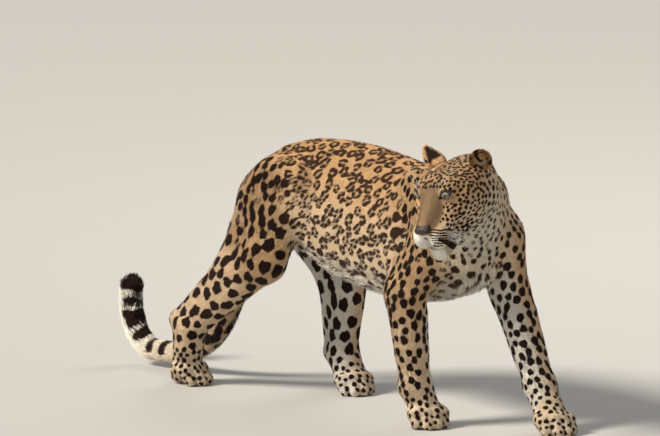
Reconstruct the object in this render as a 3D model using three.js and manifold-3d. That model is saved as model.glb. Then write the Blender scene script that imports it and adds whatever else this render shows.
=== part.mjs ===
// A life-size leopard in mid stride, its head turned back over its right shoulder.
// Millimetres, +Z up. +X runs from the pelvis to the withers and +Y to the animal's left.
import * as THREE from "three";
import { mergeVertices } from "three/addons/utils/BufferGeometryUtils.js";
import Module from "manifold-3d";

const wasm = await Module();
wasm.setup();

const at = (x, y, z) => new THREE.Vector3(x, y, z);
const degrees = THREE.MathUtils.degToRad;

// Driving dimensions
const GAP = 0.3; // clear space that touching pieces keep
const TRUNK_CELL = 32; // grain of each group of surfaces
const NECK_CELL = 22;
const HEAD_CELL = 12;
const LEG_CELL = 20;
const PAW_CELL = 13;
const GRID_NUDGES = [0, 0.37, 0.61, 0.19, 0.83, 0.47, 0.29, 0.71, 0.11, 0.53, 0.91, 0.07, 0.67, 0.23];

// The trunk from the root of the tail to the front of the chest, at stations along the spine.
// y is the spine's sideways place, top and bottom are heights, and half is half the width.
const TRUNK = [
  { x: -650, y: -12, top: 480, bottom: 420, half: 20 },
  { x: -626, y: -11, top: 520, bottom: 392, half: 46 },
  { x: -590, y: -8, top: 552, bottom: 378, half: 62 },
  { x: -541, y: -2, top: 583, bottom: 362, half: 76 },
  { x: -456, y: 12, top: 606, bottom: 326, half: 90 },
  { x: -370, y: 22, top: 611, bottom: 286, half: 102 },
  { x: -276, y: 26, top: 608, bottom: 272, half: 112 },
  { x: -180, y: 22, top: 597, bottom: 266, half: 119 },
  { x: -90, y: 13, top: 586, bottom: 270, half: 118 },
  { x: 0, y: 0, top: 584, bottom: 284, half: 106 },
  { x: 60, y: -10, top: 568, bottom: 302, half: 92 },
  { x: 112, y: -20, top: 536, bottom: 318, half: 76 },
  { x: 156, y: -24, top: 490, bottom: 350, half: 50 },
];
const TRUNK_PEAR = 0.13; // how much narrower the trunk is at its top than at its middle

// Joints of the limbs.
const FORE_RIGHT = {
  blade: at(-52, -46, 546),
  shoulder: at(61, -84, 445),
  elbow: at(-18, -114, 304),
  wrist: at(0, -98, 94),
  ball: at(24, -86, 28),
  toes: at(64, -103, 12),
};
const FORE_LEFT = {
  blade: at(8, 34, 552),
  shoulder: at(122, 55, 432),
  elbow: at(122, 86, 302),
  wrist: at(226, 82, 104),
  ball: at(284, 66, 30),
  toes: at(334, 54, 12),
};
const HIND_RIGHT = {
  hip: at(-532, -56, 486),
  seat: at(-590, -48, 446),
  stifle: at(-530, -92, 322),
  ankle: at(-756, -116, 140),
  heel: at(-793, -122, 153),
  ball: at(-786, -104, 30),
  toes: at(-732, -97, 12),
};
const HIND_LEFT = {
  hip: at(-544, 56, 486),
  seat: at(-606, 34, 446),
  stifle: at(-454, 110, 316),
  ankle: at(-476, 106, 88),
  heel: at(-519, 110, 84),
  ball: at(-430, 92, 29),
  toes: at(-382, 73, 12),
};
const PELVIS_LEFT = at(-0.17, 0.985, 0);
const CHEST_LEFT = at(0.14, 0.99, 0);

// The head's own frame: x towards the nose, y to its left, z up.
const HEAD = { origin: at(196, -158, 576), heading: -79, pitch: 28, roll: 6 };
const EYE = { centre: at(60, 38, 39), radius: 15.5, outward: 26, upward: 22 };
const EYE_OPENING = { width: 28, height: 17, slant: 14 };
const LID_THICKNESS = 2.6;
const EAR = { wall: 6, widest: 0.32, top: 1.05, sunk: 0.18, narrowing: 0.55 };
// power and blunt give the outline of the ear over its widest part.
const EAR_LEFT = {
  base: at(-46, 62, 40),
  tip: at(-61, 81, 78),
  opens: at(0.9, 0.42, 0),
  width: 52,
  depth: 22,
  power: 2,
  blunt: 0.6,
};
// The right ear is turned back, so that it shows its back.
const EAR_RIGHT = {
  base: at(-42, -55, 44),
  tip: at(-56, -80, 88),
  opens: at(-0.3, -0.95, 0.15),
  width: 50,
  depth: 16,
  power: 1.4,
  blunt: 0.9,
};
const MOUTH = { corner: at(46, 0, -55.5), slope: -0.16 };
const MUZZLE_BEND = { start: 36, end: 56, slope: 0.18 }; // the muzzle droops by slope past its end

// The tail: a curve with a radius at its root, its middle and its end.
const TAIL_PATH = [
  at(-592, -11, 492),
  at(-638, -11, 458),
  at(-680, -9, 370),
  at(-708, -4, 270),
  at(-744, 0, 176),
  at(-796, 0, 102),
  at(-872, 0, 54),
  at(-954, -2, 40),
  at(-1028, -5, 44),
  at(-1066, -8, 82),
  at(-1082, -10, 134),
  at(-1080, -12, 174),
  at(-1070, -13, 204),
];
const TAIL_RADIUS = { root: 29, middle: 26, end: 27 };
const TAIL_SIDES = 12;

// Shapes as distances: each function gives about how far a point lies outside a form, in millimetres.

/** A limb that tapers from radius ra at a to rb at b, and is squashed across the direction flat. */
function limb(a, b, ra, rb, flat = at(0, 1, 0), squash = 1) {
  const along = b.clone().sub(a);
  const lengthSquared = along.lengthSq();
  const extra = 1 / squash - 1;
  return (x, y, z) => {
    const px = x - a.x;
    const py = y - a.y;
    const pz = z - a.z;
    const share = (px * along.x + py * along.y + pz * along.z) / lengthSquared;
    const t = Math.min(1, Math.max(0, share));
    const qx = px - t * along.x;
    const qy = py - t * along.y;
    const qz = pz - t * along.z;
    const across = (qx * flat.x + qy * flat.y + qz * flat.z) * extra;
    const away = Math.hypot(qx + across * flat.x, qy + across * flat.y, qz + across * flat.z);
    return away - (ra + (rb - ra) * t);
  };
}

/** An egg with its own three radii along x, y and z. */
function egg(centre, rx, ry, rz) {
  return (x, y, z) => {
    const px = (x - centre.x) / rx;
    const py = (y - centre.y) / ry;
    const pz = (z - centre.z) / rz;
    const near = Math.hypot(px, py, pz);
    const slope = Math.hypot(px / rx, py / ry, pz / rz) || 1 / Math.min(rx, ry, rz);
    return (near * (near - 1)) / slope;
  };
}

/** Joins forms, each given with the width over which it flows into the others. */
function flesh(forms) {
  return (x, y, z) => {
    let nearest = 1e6;
    for (const [form, width] of forms) {
      const other = form(x, y, z);
      const overlap = Math.max(width - Math.abs(nearest - other), 0) / width;
      nearest = Math.min(nearest, other) - (overlap * overlap * width) / 4;
    }
    return nearest;
  };
}

/** The trunk, a smooth loft through its stations. */
function trunkForm() {
  const line = (key) => new THREE.CatmullRomCurve3(TRUNK.map((s, i) => at(i, s[key], 0)));
  const curves = { y: line("y"), top: line("top"), bottom: line("bottom"), half: line("half") };
  const read = (key, share) => curves[key].getPoint(share).y;
  const last = TRUNK.length - 1;
  const samples = [];
  for (let i = 0; i < last; i++) {
    for (let j = 0; j < 8; j++) {
      const share = (i + j / 8) / last;
      const x = TRUNK[i].x + ((TRUNK[i + 1].x - TRUNK[i].x) * j) / 8;
      samples.push({ x, ...Object.fromEntries(Object.keys(curves).map((k) => [k, read(k, share)])) });
    }
  }
  samples.push(TRUNK[last]);
  return (x, y, z) => {
    let i = 0;
    while (i < samples.length - 2 && samples[i + 1].x < x) i++;
    const a = samples[i];
    const b = samples[i + 1];
    const t = Math.min(1, Math.max(0, (x - a.x) / (b.x - a.x)));
    const mix = (key) => a[key] + (b[key] - a[key]) * t;
    const middle = (mix("top") + mix("bottom")) / 2;
    const tall = (mix("top") - mix("bottom")) / 2;
    const up = (z - middle) / tall;
    const half = mix("half") * (1 - TRUNK_PEAR * Math.min(1.3, Math.max(-1.3, up)));
    const ring = (Math.hypot((y - mix("y")) / half, up) - 1) * Math.min(half, tall);
    const beyond = Math.max(TRUNK[0].x - x, x - TRUNK[last].x, 0);
    return beyond > 0 ? Math.hypot(Math.max(ring, 0), beyond) : ring;
  };
}

const between = (a, b, share) => a.clone().lerp(b, share);

/** The muscles of a foreleg down to the wrist. */
function foreleg(j) {
  const back = at(-1, 0, 0);
  const point = j.elbow.clone().addScaledVector(back, 26).add(at(0, 0, 16));
  const rear = j.blade.clone().add(at(-30, 0, -70));
  const front = between(j.elbow, j.wrist, 0.22).add(at(6, 0, 0));
  return [
    [limb(j.blade, j.shoulder, 42, 57, CHEST_LEFT, 0.62), 34],
    [limb(rear, point, 54, 30, CHEST_LEFT, 0.66), 36],
    [limb(j.shoulder, j.elbow, 62, 50, CHEST_LEFT, 0.8), 36],
    [limb(j.elbow, j.wrist, 44, 37, CHEST_LEFT, 0.98), 26],
    [limb(point, between(j.elbow, j.wrist, 0.3), 22, 24), 22],
    [limb(front, between(j.elbow, j.wrist, 0.62), 38, 31), 22],
  ];
}

/** The muscles of a hind leg down to the ankle. */
function hindleg(j) {
  const crest = j.hip.clone().add(at(64, 0, 22));
  const thighFront = between(j.hip, j.stifle, 0.4).add(at(34, 0, 0));
  const kneecap = j.stifle.clone().add(at(14, 0, 6));
  const calf = between(j.stifle, j.ankle, 0.26).add(at(-40, 0, 6));
  return [
    [limb(crest, j.seat, 50, 42, PELVIS_LEFT, 0.7), 44],
    [limb(j.hip, j.stifle, 64, 52, PELVIS_LEFT, 0.66), 40],
    [limb(thighFront, kneecap, 62, 44, PELVIS_LEFT, 0.66), 30],
    [limb(j.seat, calf, 55, 48, PELVIS_LEFT, 0.68), 40],
    [limb(j.stifle, j.ankle, 52, 35, PELVIS_LEFT, 0.86), 26],
    [limb(calf, j.heel, 48, 18, PELVIS_LEFT, 0.78), 26],
  ];
}

/** A foot below the wrist or ankle: the long bones, four toes with raised knuckles, and the pad. */
function paw(root, j, width, heel) {
  const forward = j.toes.clone().sub(j.ball).setZ(0).normalize();
  const side = at(-forward.y, forward.x, 0);
  const shin = j.ball.clone().sub(root).normalize();
  const forms = [
    [limb(root, j.ball.clone().add(at(0, 0, 7)), 35, 33, side, 1.1), 20],
    [egg(j.ball.clone().add(at(0, 0, -13)).addScaledVector(forward, -2), 34, 34, 19), 12],
  ];
  if (heel) {
    forms.push([limb(heel, between(root, j.ball, 0.3).addScaledVector(shin, 10), 19, 27, side, 0.9), 22]);
  } else {
    forms.push([egg(root.clone().addScaledVector(forward, -26).add(at(0, 0, -16)), 13, 14, 16), 14]);
  }
  for (const rank of [-1.5, -0.5, 0.5, 1.5]) {
    const outer = Math.abs(rank) > 1 ? 1 : 0;
    const start = j.ball.clone().addScaledVector(side, rank * width * 0.2).add(at(0, 0, 10 - 4 * outer));
    const tip = j.toes.clone().addScaledVector(side, rank * width * 0.225);
    tip.addScaledVector(forward, -15 * outer);
    const knuckle = between(start, tip, 0.5).add(at(0, 0, 9));
    forms.push([limb(start, knuckle, 19, 18.5), 9]);
    forms.push([limb(knuckle, tip, 18.5, 15), 5]);
  }
  return forms;
}

const mirror = (v, side) => at(v.x, v.y * side, v.z);
const bothSides = (make) => [make(1), make(-1)];

/** The skull, cheeks and throat, in the head's own frame. */
function skullForms() {
  return [
    [egg(at(-34, 0, 12), 78, 64, 43), 20],
    [egg(at(20, 0, 30), 64, 52, 36), 20],
    ...bothSides((s) => [egg(at(8, 50 * s, -4), 62, 34, 44), 24]),
    ...bothSides((s) => [egg(at(-18, 44 * s, -34), 50, 30, 36), 24]),
    [limb(at(-40, 0, -38), at(30, 0, -52), 55, 41), 26],
  ];
}

/** The muzzle and brows over the mouth. */
function muzzleForms() {
  return [
    [limb(at(36, 0, 33), at(126, 0, 4), 32, 23), 22],
    ...bothSides((s) => [limb(at(50, 32 * s, 0), at(96, 22 * s, -12), 33, 27), 20]),
    ...bothSides((s) => [egg(at(112, 23 * s, -22), 38, 26, 33), 9]),
    ...bothSides((s) => [limb(at(18, 52 * s, 17), at(64, 32 * s, 12), 23, 18), 14]),
    ...bothSides((s) => [egg(at(44, 35 * s, 50), 30, 20, 12), 24]),
  ];
}

/** The chin and lower lip. */
function chinForms() {
  return [
    [limb(at(30, 0, -54), at(112, 0, -70), 38, 24), 16],
    ...bothSides((s) => [limb(at(26, 32 * s, -50), at(102, 18 * s, -62), 27, 18), 16]),
  ];
}

/** Puts a form that is written in the head's frame into the animal's. */
const headMatrix = new THREE.Matrix4()
  .makeRotationZ(degrees(HEAD.heading))
  .multiply(new THREE.Matrix4().makeRotationY(degrees(HEAD.pitch)))
  .multiply(new THREE.Matrix4().makeRotationX(degrees(HEAD.roll)))
  .setPosition(HEAD.origin);
const headInverse = headMatrix.clone().invert();
const fromHead = (v) => v.clone().applyMatrix4(headMatrix);
const headDirection = (v) => v.clone().transformDirection(headMatrix);

/** How far the muzzle hangs below a straight one. */
function droop(x) {
  const length = MUZZLE_BEND.end - MUZZLE_BEND.start;
  const past = Math.max(0, x - MUZZLE_BEND.start);
  return MUZZLE_BEND.slope * (past < length ? past ** 2 / (2 * length) : past - length / 2);
}

function inHead(form) {
  const e = headInverse.elements;
  return (x, y, z) => {
    const ahead = e[0] * x + e[4] * y + e[8] * z + e[12];
    const left = e[1] * x + e[5] * y + e[9] * z + e[13];
    const up = e[2] * x + e[6] * y + e[10] * z + e[14];
    return form(ahead, left, up + droop(ahead));
  };
}

const nape = fromHead(at(-66, 0, -14));
const throat = fromHead(at(-46, 0, -40));
const neckForms = [
  [limb(at(40, -12, 478), at(119, -42, 522), 98, 79), 36],
  [limb(at(119, -42, 522), nape, 79, 59), 30],
  [limb(throat, at(112, -40, 440), 54, 74), 40],
  [limb(at(118, -8, 540), at(96, 10, 470), 64, 86), 30],
];

const headField = inHead(flesh([...skullForms(), ...chinForms(), ...muzzleForms()]));
const jawField = inHead(flesh([...skullForms(), ...chinForms()]));
const tailCurve = new THREE.CatmullRomCurve3(TAIL_PATH);
const tailRootForms = [
  [limb(tailCurve.getPointAt(0), tailCurve.getPointAt(0.06), 36, 31), 36],
  [limb(tailCurve.getPointAt(0.06), tailCurve.getPointAt(0.16), 31, TAIL_RADIUS.root), 20],
];
const bodyField = flesh([
  [trunkForm(), 40],
  ...neckForms,
  [headField, 34],
  ...foreleg(FORE_RIGHT),
  ...foreleg(FORE_LEFT),
  ...hindleg(HIND_RIGHT),
  ...hindleg(HIND_LEFT),
  ...tailRootForms,
]);
const footed = (root, joints, width, heel) =>
  flesh([[bodyField, 16], ...paw(root, joints, width, heel)]);

// Meshing

/** Turns the form into a closed mesh inside the box, one vertex to each cell that the surface crosses. */
function meshed(form, low, high, cell) {
  const count = high.clone().sub(low).divideScalar(cell).ceil();
  const [nx, ny, nz] = [count.x + 1, count.y + 1, count.z + 1];
  const values = new Float64Array(nx * ny * nz);
  const index = (i, j, k) => (k * ny + j) * nx + i;
  for (let k = 0; k < nz; k++) {
    for (let j = 0; j < ny; j++) {
      for (let i = 0; i < nx; i++) {
        const edge = i === 0 || j === 0 || k === 0 || i === nx - 1 || j === ny - 1 || k === nz - 1;
        const value = form(low.x + i * cell, low.y + j * cell, low.z + k * cell);
        values[index(i, j, k)] = edge ? Math.max(value, cell / 2) : value;
      }
    }
  }
  const vertexOf = new Map();
  const vertices = [];
  const corners = [0, 1, 2, 3, 4, 5, 6, 7].map((n) => [n & 1, (n >> 1) & 1, n >> 2]);
  for (let k = 0; k < nz - 1; k++) {
    for (let j = 0; j < ny - 1; j++) {
      for (let i = 0; i < nx - 1; i++) {
        const inside = corners.map(([a, b, c]) => values[index(i + a, j + b, k + c)]);
        if (inside.every((v) => v < 0) || inside.every((v) => v >= 0)) continue;
        vertexOf.set(index(i, j, k), vertices.length / 3);
        vertices.push(...settled(form, crossing(inside, corners, i, j, k, low, cell), cell));
      }
    }
  }
  const faces = [];
  const steps = [index(1, 0, 0), index(0, 1, 0), index(0, 0, 1)];
  for (const [cellIndex] of vertexOf) {
    for (let axis = 0; axis < 3; axis++) {
      const u = steps[(axis + 1) % 3];
      const v = steps[(axis + 2) % 3];
      const start = values[cellIndex];
      const end = values[cellIndex + steps[axis]];
      if (start < 0 === end < 0) continue;
      const ring = [cellIndex, cellIndex - u, cellIndex - u - v, cellIndex - v].map((c) => vertexOf.get(c));
      if (ring.some((c) => c === undefined)) continue;
      const [a, b, c, d] = start < 0 ? ring : ring.reverse();
      faces.push(a, b, c, a, c, d);
    }
  }
  return solid(new Float32Array(vertices), new Uint32Array(faces));
}

/** The mean of the points where the surface crosses a cell's edges. */
function crossing(inside, corners, i, j, k, low, cell) {
  const sum = [0, 0, 0];
  let found = 0;
  for (let a = 0; a < 8; a++) {
    for (const bit of [1, 2, 4]) {
      const b = a | bit;
      if (b === a || inside[a] < 0 === inside[b] < 0) continue;
      const t = inside[a] / (inside[a] - inside[b]);
      for (let n = 0; n < 3; n++) sum[n] += corners[a][n] + (corners[b][n] - corners[a][n]) * t;
      found++;
    }
  }
  const [x, y, z] = sum.map((value) => value / found);
  return [low.x + (i + x) * cell, low.y + (j + y) * cell, low.z + (k + z) * cell];
}

/** A point moved onto the surface of a form, by no more than a third of a cell. */
function settled(form, [x, y, z], cell) {
  const step = 0.5;
  const value = form(x, y, z);
  const slope = [
    (form(x + step, y, z) - form(x - step, y, z)) / (2 * step),
    (form(x, y + step, z) - form(x, y - step, z)) / (2 * step),
    (form(x, y, z + step) - form(x, y, z - step)) / (2 * step),
  ];
  const steepness = Math.max(0.25, slope[0] ** 2 + slope[1] ** 2 + slope[2] ** 2);
  const move = Math.max(-cell / 3, Math.min(cell / 3, value / steepness));
  return [x - slope[0] * move, y - slope[1] * move, z - slope[2] * move];
}

function solid(vertProperties, triVerts) {
  return new wasm.Manifold(new wasm.Mesh({ numProp: 3, vertProperties, triVerts }));
}

/** A three.js geometry as a solid. */
function solidOf(geometry) {
  const bare = geometry.clone();
  for (const name of Object.keys(bare.attributes)) {
    if (name !== "position") bare.deleteAttribute(name);
  }
  const merged = mergeVertices(bare, 1e-3);
  return solid(new Float32Array(merged.attributes.position.array), new Uint32Array(merged.index.array));
}

/** A solid as a three.js geometry. */
function geometryOf(made) {
  const mesh = made.getMesh();
  const geometry = new THREE.BufferGeometry();
  geometry.setAttribute("position", new THREE.BufferAttribute(mesh.vertProperties, 3));
  geometry.setIndex(new THREE.BufferAttribute(mesh.triVerts, 1));
  geometry.computeVertexNormals();
  return geometry;
}

/** The largest closed body of a solid. */
function largest(made) {
  return made.decompose().reduce((best, body) => (body.volume() > best.volume() ? body : best));
}

/** A cut: the side of the plane through point that normal points away from is kept. */
const cut = (point, normal) => ({ point, normal: normal.clone().normalize() });
const flipped = (c) => cut(c.point, c.normal.clone().negate());

/** Whether each edge of a solid still has just two faces when its corners are rounded. */
function sound(made) {
  const { vertProperties, triVerts } = made.getMesh();
  const corner = (i) => [0, 1, 2].map((n) => Math.round(vertProperties[3 * i + n] * 1e3)).join();
  const names = new Map();
  const numbers = Array.from({ length: vertProperties.length / 3 }, (_, i) => {
    const name = corner(i);
    if (!names.has(name)) names.set(name, names.size);
    return names.get(name);
  });
  const uses = new Map();
  for (let i = 0; i < triVerts.length; i += 3) {
    const [a, b, c] = [0, 1, 2].map((n) => numbers[triVerts[i + n]]);
    if (a === b || b === c || c === a) return false;
    for (const [p, q] of [[a, b], [b, c], [c, a]]) {
      const edge = Math.min(p, q) * names.size + Math.max(p, q);
      uses.set(edge, (uses.get(edge) || 0) + 1);
    }
  }
  return [...uses.values()].every((count) => count === 2);
}

/** The first sound solid among those that make gives for small shifts of the meshing grid. */
function steady(make) {
  for (const nudge of GRID_NUDGES) {
    const made = make(nudge);
    if (sound(made)) return made;
  }
  throw new Error("no shift of the grid gives a sound solid");
}

/** Meshes the part of a form that lies behind all the cuts, half a gap short of each. */
function piece(form, cuts, [lowest, high], cell, nudge) {
  const low = lowest.clone().addScalar(-nudge * cell);
  const bounded = (x, y, z) => {
    let value = form(x, y, z);
    for (const { point, normal } of cuts) {
      const past = (x - point.x) * normal.x + (y - point.y) * normal.y + (z - point.z) * normal.z;
      value = Math.max(value, past - 1.6 * cell);
    }
    return value;
  };
  let made = meshed(bounded, low, high, cell);
  for (const { point, normal } of cuts) {
    const offset = -(point.dot(normal) - GAP / 2);
    const inward = normal.clone().negate();
    made = made.trimByPlane([inward.x, inward.y, inward.z], offset);
  }
  return largest(made);
}

/** A convex block: all that lies behind the cuts, grown by a little. */
function block(cuts, grow) {
  let made = solidOf(new THREE.BoxGeometry(3000, 3000, 3000));
  for (const { point, normal } of cuts) {
    const offset = -(point.dot(normal) + grow);
    made = made.trimByPlane([-normal.x, -normal.y, -normal.z], offset);
  }
  return made;
}

// Cuts between the parts of the body
const FLOOR = cut(at(0, 0, 0), at(0, 0, -1));
const NAPE_CUT = cut(fromHead(at(-98, 0, 66)), headDirection(at(-0.87, 0, -0.49)));
const NECK_CUT = cut(at(112, -44, 532), at(0.6, -0.54, 0.56));

/** The cuts round a limb's root: over its top, and on the side of the body's middle. */
function limbRoot(top, lean, inner, front, rear, left) {
  return [
    cut(top, lean),
    cut(inner, left),
    cut(front, at(1, 0, 0)),
    cut(rear, at(-1, 0, 0)),
  ];
}

const ROOTS = {
  fore_right: limbRoot(at(0, -130, 356), at(0, 0.62, 0.78), at(0, -22, 0), at(150, 0, 0), at(-84, 0, 0), at(0, 1, 0)),
  fore_left: limbRoot(at(110, 130, 366), at(0, -0.62, 0.78), at(0, 12, 0), at(460, 0, 0), at(20, 0, 0), at(0, -1, 0)),
  hind_right: limbRoot(at(-560, -120, 420), at(0.34, 0.7, 0.62), at(0, -14, 0), at(-400, 0, 0), at(-900, 0, 0), at(0, 1, 0)),
  hind_left: limbRoot(at(-560, 120, 420), at(0.2, -0.7, 0.66), at(0, 14, 0), at(-398, 0, 0), at(-800, 0, 0), at(0, -1, 0)),
};

/** A ring-by-ring tube along a stretch of the tail, with flat ends. */
function tailPiece(from, to, steps, roundEnd) {
  const length = tailCurve.getLength();
  const start = from + GAP / 2 / length;
  const end = roundEnd ? 1 : to - GAP / 2 / length;
  const radiusAt = (t) => {
    const { root, middle, end: last } = TAIL_RADIUS;
    const body = t < 0.5 ? root + (middle - root) * (t / 0.5) : middle + (last - middle) * ((t - 0.5) / 0.5);
    const left = (1 - t) * length;
    return left < 34 ? body * Math.sqrt(Math.max(0.02, 1 - ((34 - left) / 34) ** 2)) : body;
  };
  const positions = [];
  const faces = [];
  for (let i = 0; i <= steps; i++) {
    const share = roundEnd ? Math.sin((i / steps) * (Math.PI / 2)) : i / steps;
    const t = start + (end - start) * share;
    const point = tailCurve.getPointAt(t);
    const along = tailCurve.getTangentAt(t);
    const side = at(0, 1, 0).addScaledVector(along, -along.y).normalize();
    const up = along.clone().cross(side);
    for (let k = 0; k < TAIL_SIDES; k++) {
      const angle = (k / TAIL_SIDES) * 2 * Math.PI;
      const place = point.clone().addScaledVector(side, radiusAt(t) * Math.cos(angle));
      place.addScaledVector(up, radiusAt(t) * Math.sin(angle));
      positions.push(place.x, place.y, place.z);
    }
  }
  for (let i = 0; i < steps; i++) {
    for (let k = 0; k < TAIL_SIDES; k++) {
      const next = (k + 1) % TAIL_SIDES;
      const a = i * TAIL_SIDES + k;
      const b = i * TAIL_SIDES + next;
      faces.push(a, b, b + TAIL_SIDES, a, b + TAIL_SIDES, a + TAIL_SIDES);
    }
  }
  const lastRing = steps * TAIL_SIDES;
  for (let k = 1; k < TAIL_SIDES - 1; k++) {
    faces.push(0, k + 1, k, lastRing, lastRing + k, lastRing + k + 1);
  }
  return solid(new Float32Array(positions), new Uint32Array(faces));
}

/** The cup of an ear: a curved wall with a rounded rim, open to the front. */
function earCup(ear) {
  const base = ear.base;
  const up = ear.tip.clone().sub(base);
  const height = up.length();
  up.normalize();
  const open = ear.opens.clone();
  open.addScaledVector(up, -open.dot(up)).normalize();
  const across = up.clone().cross(open);
  const columns = 8;
  const rows = 7;
  const positions = [];
  for (const inner of [0, 1]) {
    for (let j = 0; j <= rows; j++) {
      const v = j / rows;
      const swell = 0.9 + 0.1 * Math.sin(Math.min(1, v / EAR.widest) * (Math.PI / 2));
      const over = Math.max(0, v - EAR.widest) / (EAR.top - EAR.widest);
      const taper = (1 - over ** ear.power) ** ear.blunt;
      const half = (ear.width / 2) * swell * taper * (1 - 0.14 * inner);
      const deep = ear.depth * (1 - EAR.narrowing * v) * Math.sqrt(Math.max(0.05, taper)) - inner * EAR.wall;
      for (let i = 0; i <= columns; i++) {
        const u = (2 * i) / columns - 1;
        const bend = Math.sqrt(1 - (0.96 * u) ** 2);
        const place = base.clone().addScaledVector(up, (v * (1 + EAR.sunk) - EAR.sunk) * height - inner * v * EAR.wall * 0.6);
        place.addScaledVector(across, half * u);
        place.addScaledVector(open, -deep * bend + 6 * v);
        positions.push(place.x, place.y, place.z);
      }
    }
  }
  const wide = columns + 1;
  const layer = wide * (rows + 1);
  const faces = [];
  const quad = (a, b, c, d) => faces.push(a, b, c, a, c, d);
  for (let j = 0; j < rows; j++) {
    for (let i = 0; i < columns; i++) {
      const a = j * wide + i;
      quad(a, a + wide, a + wide + 1, a + 1);
      quad(layer + a, layer + a + 1, layer + a + wide + 1, layer + a + wide);
    }
    const left = j * wide;
    const right = left + columns;
    quad(left, layer + left, layer + left + wide, left + wide);
    quad(right, right + wide, layer + right + wide, layer + right);
  }
  for (let i = 0; i < columns; i++) {
    const top = rows * wide + i;
    quad(top, layer + top, layer + top + 1, top + 1);
    quad(i, i + 1, layer + i + 1, layer + i);
  }
  const vertices = new Float32Array(positions);
  let made = solid(vertices, new Uint32Array(faces));
  if (made.volume() < 0) {
    for (let i = 0; i < faces.length; i += 3) [faces[i], faces[i + 1]] = [faces[i + 1], faces[i]];
    made = solid(vertices, new Uint32Array(faces));
  }
  return made;
}

/** A solid made in the head's frame, set into the animal's. */
const placed = (made) => made.transform(Array.from(headMatrix.elements));

/** The direction in which an eye looks, in the head's frame. */
function gaze(side) {
  const outward = degrees(EYE.outward) * side;
  const upward = degrees(EYE.upward);
  return at(Math.cos(outward) * Math.cos(upward), Math.sin(outward) * Math.cos(upward), Math.sin(upward));
}

/** A round ball about an eye's centre. */
function eyeBall(side, radius, sides) {
  const ball = new THREE.SphereGeometry(radius, sides, sides / 2);
  ball.rotateX(Math.PI / 2);
  const centre = mirror(EYE.centre, side);
  ball.translate(centre.x, centre.y, centre.z);
  return solidOf(ball);
}

/** The almond between the lids, drawn out along the gaze. */
function eyeAlmond(side) {
  const shape = new THREE.Shape();
  const half = EYE_OPENING.width / 2;
  const tall = EYE_OPENING.height;
  shape.moveTo(-half, 0);
  shape.quadraticCurveTo(0, -tall * 0.85, half, 0);
  shape.quadraticCurveTo(0, tall * 1.15, -half, 0);
  const almond = new THREE.ExtrudeGeometry(shape, { depth: 60, bevelEnabled: false, curveSegments: 5 });
  const look = gaze(side);
  const across = at(-look.y, look.x, 0).normalize();
  const up = look.clone().cross(across);
  const slant = degrees(EYE_OPENING.slant) * side;
  const long = across.clone().multiplyScalar(Math.cos(slant)).addScaledVector(up, Math.sin(slant));
  const short = look.clone().cross(long);
  const matrix = new THREE.Matrix4().makeBasis(long, short, look);
  matrix.setPosition(mirror(EYE.centre, side).addScaledVector(look, 4));
  almond.applyMatrix4(matrix);
  return solidOf(almond);
}

/** The nose pad: a rounded shield with two nostrils. */
function nosePad() {
  const shape = new THREE.Shape();
  shape.moveTo(0, -17);
  shape.bezierCurveTo(8, -14, 11, -7, 20, -3);
  shape.bezierCurveTo(27, 3, 24, 13, 14, 14.5);
  shape.quadraticCurveTo(0, 17, -14, 14.5);
  shape.bezierCurveTo(-24, 13, -27, 3, -20, -3);
  shape.bezierCurveTo(-11, -7, -8, -14, 0, -17);
  const options = { depth: 16, bevelThickness: 5, bevelSize: 4, bevelOffset: -4, bevelSegments: 1, curveSegments: 3 };
  const pad = new THREE.ExtrudeGeometry(shape, options);
  const lean = degrees(19);
  const out = at(Math.cos(lean), 0, -Math.sin(lean));
  const across = at(0, 1, 0);
  pad.applyMatrix4(new THREE.Matrix4().makeBasis(across, out.clone().cross(across), out));
  pad.translate(129, 0, 8 - droop(129));
  let made = solidOf(pad);
  for (const side of [1, -1]) {
    const hole = new THREE.SphereGeometry(1, 8, 6);
    hole.scale(9, 6.5, 4);
    hole.rotateX(degrees(24 * side));
    hole.translate(151, 11 * side, 0.5 - droop(151));
    made = made.subtract(solidOf(hole));
  }
  return largest(made);
}

const shift = (made, direction, distance) =>
  made.translate([direction.x * distance, direction.y * distance, direction.z * distance]);

// Building the pieces
const headBox = [at(70, -340, 400), at(330, 10, 720)];

function headSolids() {
  const jawCuts = [
    cut(fromHead(MOUTH.corner), headDirection(at(-MOUTH.slope, 0, 1))),
    cut(fromHead(MOUTH.corner), headDirection(at(-1, 0, -0.4))),
  ];
  const jaw = steady((nudge) => piece(jawField, jawCuts, headBox, HEAD_CELL, nudge));
  const skull = steady((nudge) => {
    let made = piece(headAndNeck, [NAPE_CUT, flipped(NECK_CUT)], headBox, HEAD_CELL, nudge);
    made = made.subtract(block(jawCuts, GAP / 2));
    for (const side of [1, -1]) made = made.add(placed(eyeBall(side, EYE.radius + LID_THICKNESS, 16)));
    for (const side of [1, -1]) {
      made = made.subtract(placed(eyeAlmond(side)));
      made = made.subtract(placed(eyeBall(side, EYE.radius + GAP, 16)));
    }
    return largest(made);
  });
  const nose = largest(shift(placed(nosePad()).subtract(skull), headDirection(at(1, 0, 0)), GAP * 1.2));
  const solids = { head: skull, lower_jaw: jaw, nose };
  for (const [i, name] of ["left", "right"].entries()) {
    const side = 1 - 2 * i;
    const ear = side > 0 ? EAR_LEFT : EAR_RIGHT;
    const up = headDirection(ear.tip.clone().sub(ear.base));
    solids[`eye_${name}`] = placed(eyeBall(side, EYE.radius, 16));
    solids[`ear_${name}`] = shift(largest(placed(earCup(ear)).subtract(skull)), up, GAP * 1.4);
  }
  return solids;
}

const headAndNeck = flesh([...neckForms, [headField, 34]]);

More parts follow.
